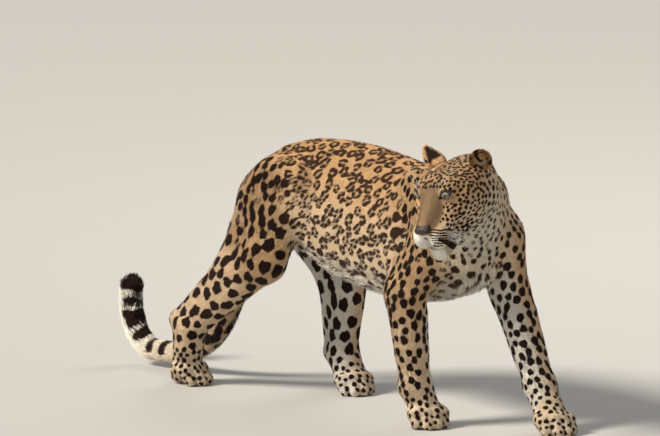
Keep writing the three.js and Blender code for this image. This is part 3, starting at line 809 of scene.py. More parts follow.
@dataclass
class Body:
    """Where each point lies on the animal, the lie of its coat and its colour."""

    animal: Animal
    softness: float = 11  # how widely one region's coat passes into the next, in millimetres
    folds: tuple[tuple[tuple[Triple, ...], float, float], ...] = (  # points, width and depth
        (((-428, -52, 552), (-404, -82, 480), (-412, -90, 395)), 25, 7),
        (((-420, 82, 552), (-396, 106, 480), (-404, 112, 395)), 25, 11),
        (((-40, -98, 470), (-50, -112, 410), (-44, -118, 350)), 20, 5),
    )
    crown: tuple[Triple, float, float] = ((-80, 6, 44), 42, 9)  # in the head's frame

    def hollows(self, p: np.ndarray) -> np.ndarray:
        """How much deeper the skin lies in the folds before the thighs and behind the shoulder."""
        depth = np.zeros(len(p))
        for points, width, deep in self.folds:
            line = SmoothLine(points).evenly(14)
            away = np.min([np.linalg.norm(p - c, axis=1) for c in line], axis=0)
            depth += deep * np.exp(-((away / width) ** 2))
        return depth

    def lowered(self, p: np.ndarray) -> np.ndarray:
        """How much deeper the skin lies on the crown."""
        centre, width, deep = self.crown
        return deep * np.exp(-((np.linalg.norm(p - self.animal.head.out(centre), axis=1) / width) ** 2))

    def leg_parts(self) -> list[tuple[Region, np.ndarray, np.ndarray, float, np.ndarray]]:
        """The stretches of the legs: region, ends, half thickness and the lie of the coat."""
        parts = []
        for leg in self.animal.legs():
            fore = isinstance(leg, Foreleg)
            kinds = [Region.SHOULDER] * 2 if fore else [Region.THIGH]
            kinds += [Region.SHIN, Region.FOOT, Region.FOOT]
            for kind, (a, b, radius) in zip(kinds, leg.bones()):
                lie = unit(b - a)
                if kind in (Region.SHOULDER, Region.THIGH):
                    lie = unit(lie * 0.5 + np.array([-0.3, 0, -0.75]))
                parts.append((kind, a, b, radius, lie))
        return parts

    def head_shares(self, q: np.ndarray) -> tuple[np.ndarray, np.ndarray, np.ndarray]:
        """The shares of crown, cheek and muzzle at points of the head's frame."""
        muzzle = ease(80, 100, q[:, 0]) * ease(26, 8, q[:, 2])
        muzzle = np.maximum(muzzle, ease(74, 90, q[:, 0]) * ease(32, 20, np.abs(q[:, 1])) * ease(0, 16, q[:, 2]))
        ruff = ease(24, -34, q[:, 0] + 0.3 * q[:, 2]) * ease(34, -14, q[:, 2])
        ruff = np.maximum(ruff, ease(-50, -66, q[:, 2]) * 0.6)
        cheek = ruff * (1 - muzzle)
        return np.clip(1 - muzzle - cheek, 0, 1), cheek, muzzle

    def shares(self, p: np.ndarray) -> tuple[np.ndarray, np.ndarray]:
        """How much of each region there is at points, and the lie of the coat there.

        Args:
            p: Points on the skin, in the walking frame.

        Returns:
            The shares, one column for each region, and the lie, not yet laid into the skin.
        """
        animal = self.animal
        parts = self.leg_parts()
        q = animal.head.into(p)
        gaps, kinds, lies = [], [], []

        def add(gap: np.ndarray, shares: dict[Region, np.ndarray], lie: np.ndarray) -> None:
            """Keeps one group's distances, its regions' shares and its lie."""
            gaps.append(gap)
            kinds.append(shares)
            lies.append(np.broadcast_to(lie, p.shape))

        aside, up, _, _ = animal.trunk.place(p)
        belly = ease(-0.5, -0.92, up)
        down = np.stack([-np.ones(len(p)), np.zeros(len(p)), -0.14 - 0.3 * ease(0.9, 0.2, up)], axis=1)
        add(animal.trunk.form()(p), {Region.BACK: 1 - belly, Region.BELLY: belly}, down)
        nape = animal.head.out(animal.nape)
        front = ease(20, 120, p[:, 0] - 0.9 * (p[:, 2] - 440))
        neck_gap = np.minimum.reduce([form(p) for form, _ in animal.neck()])
        neck_lie = np.subtract(animal.withers, nape) * (1, 0.6, 1.9)
        add(neck_gap, {Region.NECK: 1 - front, Region.CHEST: front}, unit(neck_lie))
        crown, cheek, muzzle = self.head_shares(animal.head.straight(q))
        away = q - np.add(animal.head.nose_tip, (20, 0, 0))
        lie = unit(away) @ animal.head.turn().T
        add(animal.head.plain()(p), {Region.CROWN: crown, Region.CHEEK: cheek, Region.MUZZLE: muzzle}, lie)
        for kind, a, b, radius, lie in parts:
            along = b - a
            t = np.clip((p - a) @ along / (along @ along), 0, 1)
            gap = np.linalg.norm(p - a - t[:, None] * along, axis=1) - radius
            add(gap, {kind: np.ones(len(p))}, lie)
        line = animal.tail.line()
        gap, share = animal.tail.nearest(p)
        heading = unit(np.gradient(line, axis=0))[(share * (len(line) - 1)).astype(int)]
        end = ease(0.7, 0.82, share)
        add(gap - animal.tail.radius(share) + 40 * (share < 0.03), {Region.TAIL: 1 - end, Region.TAIL_END: end}, heading)
        gaps = np.array(gaps)
        pull = np.exp(-(gaps - gaps.min(axis=0)) / self.softness)
        pull /= pull.sum(axis=0)
        out = np.zeros((len(p), len(Region)))
        flow = np.zeros_like(p)
        for weight, shares, lie in zip(pull, kinds, lies):
            flow += weight[:, None] * lie
            for region, share in shares.items():
                out[:, region.value] += weight * share
        return out, flow

    def paleness(self, p: np.ndarray, n: np.ndarray, shares: np.ndarray) -> np.ndarray:
        """How pale the coat is between its marks: 0 deep golden tan, 1 white.

        Args:
            p: Points on the skin, in the walking frame.
            n: The skin's normals there.
            shares: The shares of each region.

        Returns:
            Numbers from 0 to 1.
        """
        head = self.animal.head
        q = head.straight(head.into(p))
        _, up, _, _ = self.animal.trunk.place(p)
        trunk = 0.10 + 0.50 * ease(0.95, -0.15, up) + 0.38 * ease(-0.3, -0.88, up)
        front = ease(20, 110, p[:, 0] - 0.9 * (p[:, 2] - 440))
        neck = 0.28 + 0.34 * ease(0.5, -0.5, n[:, 2]) + 0.26 * front
        inward = np.zeros(len(p))
        for leg in self.animal.legs():
            a, b, _ = leg.bones()[-3]
            close = np.linalg.norm((p - between(a, b, 0.2)) * (1, 1, 0.35), axis=1) < 150
            inward = np.where(close, n[:, 1] * (-1 if a[1] > 0 else 1), inward)
        inner = ease(0.0, 0.75, inward)
        upper = 0.36 + 0.58 * inner
        lower = 0.60 + 0.38 * inner
        crown = 0.24 + 0.34 * ease(24, -26, q[:, 2])
        above_eye = np.exp(-np.sum(((q - (66, 0, 62)) / (16, 60, 9)) ** 2, axis=1))
        under = [np.exp(-np.sum(((q - (70, 46 * s.value, 16)) / (17, 13, 9)) ** 2, axis=1)) for s in Side]
        crown = crown + 0.35 * above_eye + 0.4 * (under[0] + under[1])
        cheek = 0.46 + 0.3 * ease(0, -44, q[:, 2])
        for side in Side:
            cheek += 0.6 * np.exp(-np.sum(((q - (30, 58 * side.value, -52)) / (17, 22, 14)) ** 2, axis=1))
        row, along = pad_place(q)
        # Painted shade: on the head's left side the front of the muzzle is a quarter less pale.
        front = ease(36, 24, along) * (1 - 0.25 * ease(4, 12, q[:, 1]))
        muzzle = 0.30 + 0.30 * ease(14, -4, q[:, 2]) + 0.45 * front * ease(4, -8, q[:, 2])
        _, share = self.animal.tail.nearest(p)
        tail = 0.3 + 0.5 * ease(0.2, 0.7, share)
        parts = {
            Region.BACK: trunk,
            Region.BELLY: trunk,
            Region.NECK: neck,
            Region.CHEST: np.maximum(neck, 0.74),
            Region.SHOULDER: upper,
            Region.THIGH: upper,
            Region.SHIN: lower,
            Region.FOOT: 0.70 + 0.24 * inner,
            Region.CROWN: crown,
            Region.CHEEK: cheek,
            Region.MUZZLE: muzzle,
            Region.TAIL: tail,
            Region.TAIL_END: np.ones(len(p)),
        }
        out = sum(shares[:, region.value] * value for region, value in parts.items())
        chin = ease(-54, -60, q[:, 2]) * ease(72, 98, q[:, 0]) * (0.88 + 0.12 * front)
        corner = np.exp(-np.sum(((np.abs(q) - (86, 41, 64)) / (10, 14, 10)) ** 2, axis=1)) * (q[:, 2] < 0)
        chin = np.maximum(chin, 1.3 * corner) * (np.linalg.norm(p - head.origin, axis=1) < 190)
        return np.clip(np.maximum(out, chin), 0, 1)

    def dark_fur_and_painted_shade(self, p: np.ndarray) -> np.ndarray:
        """How much darker and greyer the coat is painted: darker fur along and beside the bridge of the nose, painted
        shade on the bridge and under the jaw, and painted shade in the folds.
        """
        head = self.animal.head
        q = head.straight(head.into(p))
        close = np.linalg.norm(p - head.origin, axis=1) < 220
        across = np.abs(q[:, 1])
        # The bridge is darker fur, darkened further as painted shade; the strips beside it are darker fur; the jaw term
        # is painted shade under the jaw.
        bridge = ease(30, 66, q[:, 0]) * ease(40, 22, across) * ease(-6, 10, q[:, 2])
        flank = ease(72, 86, q[:, 0]) * ease(8, 18, across) * ease(40, 30, across) * ease(2, 14, q[:, 2])
        jaw = 0.6 * ease(-50, -60, q[:, 2]) * ease(26, 36, pad_place(q)[1]) * ease(72, 60, pad_place(q)[1])
        face = np.where(close, np.clip(0.88 * bridge + 0.7 * flank + jaw, 0, 1), 0)
        # Painted shade in the folds before the thighs and behind the shoulder, darker where the skin lies deeper.
        return np.maximum(face, 0.5 * ease(2, 6.5, self.hollows(p)))


def pad_place(q: np.ndarray) -> tuple[np.ndarray, np.ndarray]:
    """Where points of a straight head lie on a whisker pad.

    Args:
        q: Points in the head's frame.

    Returns:
        The height over the line from the nose down and back across the pad, and the way along it.
    """
    back = 145 - q[:, 0]
    return q[:, 2] + 0.85 * (back - 3), 0.95 * back + np.abs(q[:, 1]) - 13


def wave(p: np.ndarray, scale: float, seed: int) -> np.ndarray:
    """Smooth noise at points, from -1 to 1, with bumps about as wide as scale."""
    draw = np.random.default_rng(seed)
    out = np.zeros(len(p))
    for _ in range(7):
        direction = unit(draw.normal(size=3)) * draw.uniform(0.7, 1.6) * math.pi / scale
        out += np.sin(p @ direction + draw.uniform(0, 6.28))
    return out / 3.0


class Kind(Enum):
    """A kind of mark."""

    SPOT = 0
    ROSETTE = 1
    RING = 2


@dataclass(frozen=True)
class Pattern:
    """How a region is marked, in millimetres."""

    spacing: float
    stretch: float  # how long a mark is along the coat's lie, to its width
    rosettes: float  # the share of marks that are rosettes
    fill: float  # how much of its room a mark takes


PATTERNS = {
    Region.BACK: Pattern(24.5, 1.12, 1.0, 0.89),
    Region.BELLY: Pattern(24, 1.2, 0.0, 0.60),
    Region.NECK: Pattern(15.5, 0.82, 0.0, 0.78),
    Region.CHEST: Pattern(15.5, 0.85, 0.0, 0.62),
    Region.SHOULDER: Pattern(18.5, 1.3, 0.0, 0.82),
    Region.THIGH: Pattern(23, 1.05, 0.12, 0.82),
    Region.SHIN: Pattern(21.5, 1.2, 0.0, 0.80),
    Region.FOOT: Pattern(13.0, 0.95, 0.0, 0.68),
    Region.CROWN: Pattern(8.6, 1.1, 0.0, 0.80),
    Region.CHEEK: Pattern(14.0, 0.95, 0.0, 0.76),
    Region.MUZZLE: Pattern(9.5, 1.1, 0.0, 0.72),
    Region.TAIL: Pattern(23, 1.05, 0.1, 0.86),
    Region.TAIL_END: Pattern(60, 1.0, 0.0, 0.1),
}


class Lattice:
    """Points in cells, to find those near a place."""

    def __init__(self, p: np.ndarray, cell: float) -> None:
        """Sorts the points into cells."""
        self.cell = cell
        keys = np.floor(p / cell).astype(int)
        order = np.lexsort(keys.T)
        ordered = keys[order]
        fresh = np.any(np.diff(ordered, axis=0) != 0, axis=1)
        starts = np.concatenate([[0], np.nonzero(fresh)[0] + 1, [len(p)]])
        self.cells = {tuple(ordered[a]): order[a:b] for a, b in zip(starts, starts[1:])}

    def near(self, centre: np.ndarray, reach: float) -> np.ndarray:
        """The numbers of the points in the cells within a reach of a centre."""
        low = np.floor((centre - reach) / self.cell).astype(int)
        high = np.floor((centre + reach) / self.cell).astype(int)
        found = [
            self.cells[(i, j, k)]
            for i in range(low[0], high[0] + 1)
            for j in range(low[1], high[1] + 1)
            for k in range(low[2], high[2] + 1)
            if (i, j, k) in self.cells
        ]
        return np.concatenate(found) if found else np.zeros(0, int)


@dataclass
class Mark:
    """One mark: its centre, the directions along and across the coat's lie, and its shape."""

    centre: np.ndarray
    along: np.ndarray
    across: np.ndarray
    normal: np.ndarray
    kind: Kind
    half: float
    stretch: float
    seed: int

    def value(self, p: np.ndarray) -> tuple[np.ndarray, np.ndarray]:
        """How far inside the mark points lie, and how far inside the darker middle of a rosette.

        Args:
            p: Points near the mark.

        Returns:
            Two arrays in millimetres, positive inside.
        """
        draw = np.random.default_rng(self.seed)
        r = p - self.centre
        u, v = r @ self.along / self.stretch, r @ self.across
        flat = np.hypot(u, v)
        away = np.hypot(flat, 0.6 * (r @ self.normal))
        angle = np.arctan2(v, u)
        lumps = sum(
            draw.uniform(0.03, 0.10) * np.sin(k * angle + draw.uniform(0, 6.28)) for k in (2, 3, 5)
        )
        if self.kind is Kind.SPOT:
            return self.half * (1 + lumps) - away, np.full(len(p), -9.0)
        count = int(draw.integers(3, 6)) if self.kind is Kind.ROSETTE else int(draw.integers(1, 4))
        thick = self.half * (draw.uniform(0.36, 0.42) if self.kind is Kind.ROSETTE else draw.uniform(0.31, 0.37))
        middle = self.half - thick
        gap = draw.uniform(0.9, 2.0, count)
        turn = draw.uniform(0, 6.28)
        ring = thick * (1 + 1.6 * lumps) - np.abs(away - middle * (1 + 0.5 * lumps))
        value = ring
        for k in range(count):
            place = turn + (k + draw.uniform(-0.22, 0.22)) * 2 * math.pi / count
            off = np.abs((angle - place + math.pi) % (2 * math.pi) - math.pi) * np.maximum(away, 2)
            value = np.minimum(value, off - gap[k])
        return value, middle - away


@dataclass
class Markings:
    """The spots and rosettes over the whole coat."""

    animal: Animal
    body: Body
    seed: int = 7
    marks: list[Mark] = field(default_factory=list)

    def scatter(self, p: np.ndarray, n: np.ndarray, lie: np.ndarray, shares: np.ndarray) -> None:
        """Spreads marks evenly over the skin.

        Args:
            p: Many points spread over the skin.
            n: The normals there.
            lie: The lie of the coat there.
            shares: The shares of each region there.
        """
        draw = np.random.default_rng(self.seed)
        table = np.array([[getattr(PATTERNS[r], k) for k in ("spacing", "stretch", "rosettes", "fill")] for r in Region])
        spacing, stretch, rosettes, fill = (shares @ table).T
        spacing = spacing * (1 + 0.06 * wave(p, 60, 3))
        shin = shares[:, Region.SHIN.value]
        hind = ease(-300, -380, p[:, 0]) * (shares[:, Region.THIGH.value] + shin)
        rump = shares[:, Region.BACK.value] * ease(-360, -440, p[:, 0])
        spacing *= 1 - 0.16 * rump + hind * (0.42 * ease(480, 320, p[:, 2]) - 0.12) - 0.18 * shin * ease(-330, -250, p[:, 0])
        _, up, _, _ = self.animal.trunk.place(p)
        across = np.cross(n, lie)
        lattice = {}
        cell = 40.0
        kept: list[int] = []
        for i in draw.permutation(len(p)):
            home = tuple(np.floor(p[i] / cell).astype(int))
            clear = True
            for dx in (-1, 0, 1):
                for dy in (-1, 0, 1):
                    for dz in (-1, 0, 1):
                        for j in lattice.get((home[0] + dx, home[1] + dy, home[2] + dz), ()):
                            r = p[i] - p[j]
                            room = 0.5 * (spacing[i] + spacing[j])
                            a, b, c = r @ lie[i] / stretch[i], r @ across[i], r @ n[i]
                            if a * a + b * b + c * c < room * room:
                                clear = False
                                break
                        if not clear:
                            break
                    if not clear:
                        break
                if not clear:
                    break
            if clear:
                kept.append(int(i))
                lattice.setdefault(home, []).append(int(i))
        chosen = np.array(kept)
        for i in chosen:
            kind = Kind.SPOT
            if draw.uniform() < rosettes[i]:
                on_back = shares[i, Region.BACK.value] > 0.5 and up[i] > 0.42
                kind = Kind.RING if on_back else Kind.ROSETTE
            room = np.linalg.norm(p[chosen] - p[i], axis=1)
            room = float(np.sort(room)[1:5].mean())
            half = 0.5 * min(room, 1.35 * spacing[i]) * fill[i] / math.sqrt(stretch[i])
            size = half * draw.uniform(0.88, 1.1)
            tall = stretch[i] * draw.uniform(0.85, 1.2)
            tilt = draw.normal(0, 0.22)
            along = unit(lie[i] * math.cos(tilt) + across[i] * math.sin(tilt))
            mark = Mark(p[i], along, unit(np.cross(n[i], along)), n[i], kind, size, tall, int(draw.integers(1 << 30)))
            self.marks.append(mark)

    def at(self, p: np.ndarray, n: np.ndarray) -> tuple[np.ndarray, np.ndarray]:
        """How far inside a mark points lie, and how dark the coat is inside a rosette, on darker fur and where shade is
        painted.

        Args:
            p: Points on the skin, in the walking frame.
            n: The skin's normals there.

        Returns:
            Millimetres, positive inside a mark, and a share from 0 to 1.
        """
        value, centre = np.full(len(p), -9.0), np.full(len(p), -9.0)
        lattice = Lattice(p, 24.0)
        shaken = p + np.stack([wave(p, 7.0, s) for s in (11, 12, 13)], axis=1) * 0.8
        for mark in self.marks:
            near = lattice.near(mark.centre, 1.5 * mark.half * max(1.0, mark.stretch))
            near = near[n[near] @ mark.normal > 0.1]
            if not len(near):
                continue
            inside, middle = mark.value(shaken[near])
            value[near] = np.maximum(value[near], inside)
            centre[near] = np.maximum(centre[near], middle)
        q = self.animal.head.into(p)
        close = np.linalg.norm(p - self.animal.head.origin, axis=1) < 200
        value[close] = self.face(q[close], value[close])
        tail = p[:, 0] < -600
        value[tail] = self.bands(p[tail], value[tail])
        # The second number darkens the coat in rosette middles, on darker fur and as painted shade on the face and in
        # the folds.
        return value, np.maximum(0.34 * ease(-1.0, 2.5, centre), self.body.dark_fur_and_painted_shade(p))

    def face(self, q: np.ndarray, value: np.ndarray) -> np.ndarray:
        """Adds the eye rims, the lines from the eyes, the whisker rows and the lips."""
        head = self.animal.head
        s = head.straight(q)
        across = np.abs(q[:, 1])
        row, along = pad_place(s)
        plain = ease(64, 78, q[:, 0]) * ease(36, 28, across) * ease(2, 14, s[:, 2])
        plain = np.maximum(plain, ease(112, 118, q[:, 0]))
        plain = np.maximum(plain, ease(84, 92, q[:, 0]) * ease(14, 10, row) * ease(-56, -50, row))
        value = value - 12 * plain
        for side in Side:
            edge, _ = head.opening(q, side)
            long, _, look = head.eye_frame(side)
            r = q - head.eye_centre(side)
            rim = 3.4 + 0.8 * wave(q, 9, 21) - edge
            value = np.maximum(value, rim)
            inner = head.eye_centre(side) + look * 14 - long * side.value * 15
            streak = limb(inner, inner + np.array([13, -5.0 * side.value, -17]), 4.2, 1.4)
            outer = head.eye_centre(side) + look * 12 + long * side.value * 14
            back = limb(outer, outer + np.array([-18, 9.0 * side.value, 2]), 2.6, 1.0)
            value = np.maximum(value, np.maximum(-streak(q), -back(q)))
            glow = np.exp(-np.sum(((r - look * 14 + (0, 0, 17)) / (20, 20, 6)) ** 2, axis=1))
            value = value - 4 * glow * (value < 3)
        bold = np.where((across > 7) & ((q[:, 1] > 0) | (q[:, 0] < 126)), 0, 60)
        for line in range(7):
            for k in range(8 if line < 4 else 3):
                off = np.hypot(0.42 * (along - 8 - 9.5 * k - 4 * (line % 2)), row - 11 + 7.2 * line + 1.2 * wave(q, 9, 33))
                value = np.maximum(value, 2.1 + 0.14 * k - off - bold)
        low = -20 - 24 * ease(28, 56, along)
        wedge = np.minimum.reduce([row - low, -14 - row, along - 25, 73 - along]) + 0.8 * wave(q, 7, 34)
        value = np.maximum(value, wedge - bold)
        above = head.above_mouth(s)
        lip = np.where((q[:, 0] > 50) & (q[:, 0] < 142), 2.2 - np.abs(above), -9)
        value = np.maximum(value, lip)
        nose = limb((137, 0, 6), (139, 0, -22), 9, 2.0)
        return np.maximum(value, -nose(s) + 1.5)

    def bands(self, p: np.ndarray, value: np.ndarray) -> np.ndarray:
        """Adds the bands over the end of the tail, which leave its under side white."""
        tail = self.animal.tail
        line = tail.line()
        _, share = tail.nearest(p)
        length = float(np.linalg.norm(np.diff(line, axis=0), axis=1).sum())
        step = (share * (len(line) - 1)).astype(int)
        heading = unit(np.gradient(line, axis=0))[step]
        upper = np.sum(unit(p - line[step]) * np.cross((0, 1, 0), heading), axis=1)
        place = share * length + 5 * wave(p, 26, 31)
        out = np.where(share > 0.66, -9.0, value)
        end = length
        for start, stop in ((262, 240), (216, 190), (164, 138), (122, 82), (68, 44), (25, -20)):
            band = np.minimum(place - (end - start), (end - stop) - place)
            cover = (upper + 0.18 + 0.14 * wave(p, 30, 32)) * 26
            if stop < 0:
                cover = cover + 18
            out = np.maximum(out, np.where(share > 0.6, np.minimum(band, cover), -9.0))
        return out


@dataclass
class Skin:
    """The animal's skin: one mesh from all the solids, settled on the animal's form."""

    animal: Animal
    place: Place
    body: Body
    voxel: float = 0.0058
    head_reach: float = 150
    fine_reach: float = 60
    eye_reach: float = 22
    plain_depth: float = 2.0
    sole: float = 0.5  # the height of the soles, in the walking frame
    obj: bpy.types.Object = field(init=False)
    shares: np.ndarray = field(init=False)
    lie: np.ndarray = field(init=False)
    normal: np.ndarray = field(init=False)

    def base(self) -> bpy.types.Object:
        """One closed mesh round copies of all the solids."""
        bpy.ops.object.select_all(action="DESELECT")
        copies = []
        for name in (*FLESH, *SOCKETS):
            made = bpy.data.objects[name].copy()
            made.data = made.data.copy()
            bpy.context.scene.collection.objects.link(made)
            made.select_set(True)
            copies.append(made)
        bpy.context.view_layer.objects.active = copies[0]
        bpy.ops.object.join()
        obj = bpy.context.active_object
        obj.parent = None
        obj.name = "skin"
        obj.data.materials.clear()
        bpy.ops.object.transform_apply(location=True, rotation=True, scale=True)
        closed = obj.modifiers.new("closed", "REMESH")
        closed.mode = "VOXEL"
        closed.voxel_size = self.voxel
        bpy.ops.object.modifier_apply(modifier=closed.name)
        return obj

    def divide(self, obj: bpy.types.Object, centre: Triple, reach: float) -> None:
        """Divides the faces within a reach of a centre, given in the walking frame."""
        alone(obj)
        bpy.ops.object.mode_set(mode="EDIT")
        bpy.ops.mesh.select_all(action="DESELECT")
        bpy.ops.mesh.select_mode(type="FACE")
        shape = bmesh.from_edit_mesh(obj.data)
        middle = Vector(self.place.out(np.asarray(centre, float)))
        for face in shape.faces:
            face.select = (face.calc_center_median() - middle).length < reach * MM
        shape.select_flush(True)
        bmesh.update_edit_mesh(obj.data)
        bpy.ops.mesh.subdivide(number_cuts=1)
        bpy.ops.object.mode_set(mode="OBJECT")

    def settle(self, obj: bpy.types.Object, form: Form, depth: np.ndarray | float, rounds: int) -> None:
        """Moves the mesh onto the form, as far inside it as the coat is deep.

        Args:
            obj: The skin.
            form: The animal's form.
            depth: The coat's depth at each vertex, or everywhere.
            rounds: How many steps are taken.
        """
        p = self.place.into(corners(obj.data))
        for _ in range(rounds):
            value = form(p)
            slope = gradient(form, p, value)
            steep = np.maximum(0.25, np.sum(slope * slope, axis=1))
            move = np.clip((value + depth) / steep, -6.0, 6.0)
            p = p - slope * move[:, None]
            p[:, 2] = np.maximum(p[:, 2], self.sole)
        set_corners(obj.data, self.place.out(p))

    def smooth(self, obj: bpy.types.Object, repeat: int) -> None:
        """Evens the mesh."""
        alone(obj)
        even = obj.modifiers.new("even", "SMOOTH")
        even.factor = 0.5
        even.iterations = repeat
        bpy.ops.object.modifier_apply(modifier=even.name)

    def comb(self, obj: bpy.types.Object) -> None:
        """Works out the regions and the lie of the coat at each vertex."""
        p = self.place.into(corners(obj.data))
        self.normal = normals(obj.data)
        self.shares, flow = self.body.shares(p)
        edges = np.empty(len(obj.data.edges) * 2, dtype=np.int64)
        obj.data.edges.foreach_get("vertices", edges)
        a, b = edges.reshape(-1, 2).T
        count = np.bincount(a, minlength=len(p)) + np.bincount(b, minlength=len(p))
        for _ in range(10):
            flow = unit(flow - np.sum(flow * self.normal, axis=1, keepdims=True) * self.normal)
            total = np.stack(
                [np.bincount(a, flow[b, k], len(p)) + np.bincount(b, flow[a, k], len(p)) for k in range(3)], axis=1
            )
            flow = 0.4 * flow + 0.6 * total / count[:, None]
        self.lie = unit(flow - np.sum(flow * self.normal, axis=1, keepdims=True) * self.normal)

    def build(self) -> bpy.types.Object:
        """Makes the skin."""
        head = self.animal.head
        obj = self.base()
        plain, fine = self.animal.body(), self.animal.form()
        self.smooth(obj, 3)
        self.settle(obj, plain, self.plain_depth, 2)
        self.divide(obj, head.out((30, 0, 0)), self.head_reach)
        self.settle(obj, plain, self.plain_depth, 1)
        self.divide(obj, head.out((118, 0, -30)), self.fine_reach)
        for side in Side:
            self.divide(obj, head.out(head.eye_centre(side)), self.eye_reach)
        shares, _ = self.body.shares(self.place.into(corners(obj.data)))
        depth = shares @ np.array([GROWTH[r].depth for r in Region])
        p = self.place.into(corners(obj.data))
        depth = depth + self.body.hollows(p) + self.body.lowered(p)
        self.settle(obj, fine, depth, 2)
        self.smooth(obj, 1)
        self.settle(obj, fine, depth, 2)
        obj.data.shade_smooth()
        self.comb(obj)
        self.obj = obj
        return obj

    def unwrap(self) -> None:
        """Lays the skin out flat, as the map that the coat's patches lie on too."""
        alone(self.obj)
        bpy.ops.object.mode_set(mode="EDIT")
        bpy.ops.mesh.select_all(action="SELECT")
        bpy.ops.uv.smart_project(angle_limit=math.radians(72), island_margin=0.001)
        bpy.ops.object.mode_set(mode="OBJECT")
        self.obj.data.uv_layers[0].name = "OFBake"


def normals(mesh: bpy.types.Mesh) -> np.ndarray:
    """The normals at a mesh's vertices."""
    flat = np.empty(len(mesh.vertices) * 3)
    mesh.vertices.foreach_get("normal", flat)
    return flat.reshape(-1, 3)


def keep(mesh: bpy.types.Mesh, name: str, values: np.ndarray) -> None:
    """Keeps a vector for each vertex of a mesh under a name."""
    made = mesh.attributes.new(name, "FLOAT_VECTOR", "POINT")
    made.data.foreach_set("vector", np.ascontiguousarray(values, dtype=np.float32).ravel())


def mesh_of(name: str, p: np.ndarray, triangles: np.ndarray) -> bpy.types.Mesh:
    """A mesh from places, in metres, and triangles."""
    mesh = bpy.data.meshes.new(name)
    mesh.vertices.add(len(p))
    mesh.vertices.foreach_set("co", np.ascontiguousarray(p, dtype=np.float32).ravel())
    mesh.loops.add(3 * len(triangles))
    mesh.loops.foreach_set("vertex_index", np.ascontiguousarray(triangles, dtype=np.int32).ravel())
    mesh.polygons.add(len(triangles))
    mesh.polygons.foreach_set("loop_start", np.arange(0, 3 * len(triangles), 3, dtype=np.int32))
    mesh.update(calc_edges=True)
    mesh.shade_smooth()
    return mesh


@dataclass
class Roots:
    """Where tufts grow, and how."""

    p: np.ndarray
    n: np.ndarray
    lie: np.ndarray
    length: np.ndarray
    width: np.ndarray
    lift: np.ndarray
    map: np.ndarray  # the place on the skin's unwrap
    marking: np.ndarray  # mark, middle of a rosette with darker fur and painted shade, fading
    ahead: np.ndarray  # the same where the tuft ends
    pale: np.ndarray

    def only(self, chosen: np.ndarray) -> Roots:
        """The chosen roots."""
        return Roots(*(getattr(self, name)[chosen] for name in self.__dataclass_fields__))


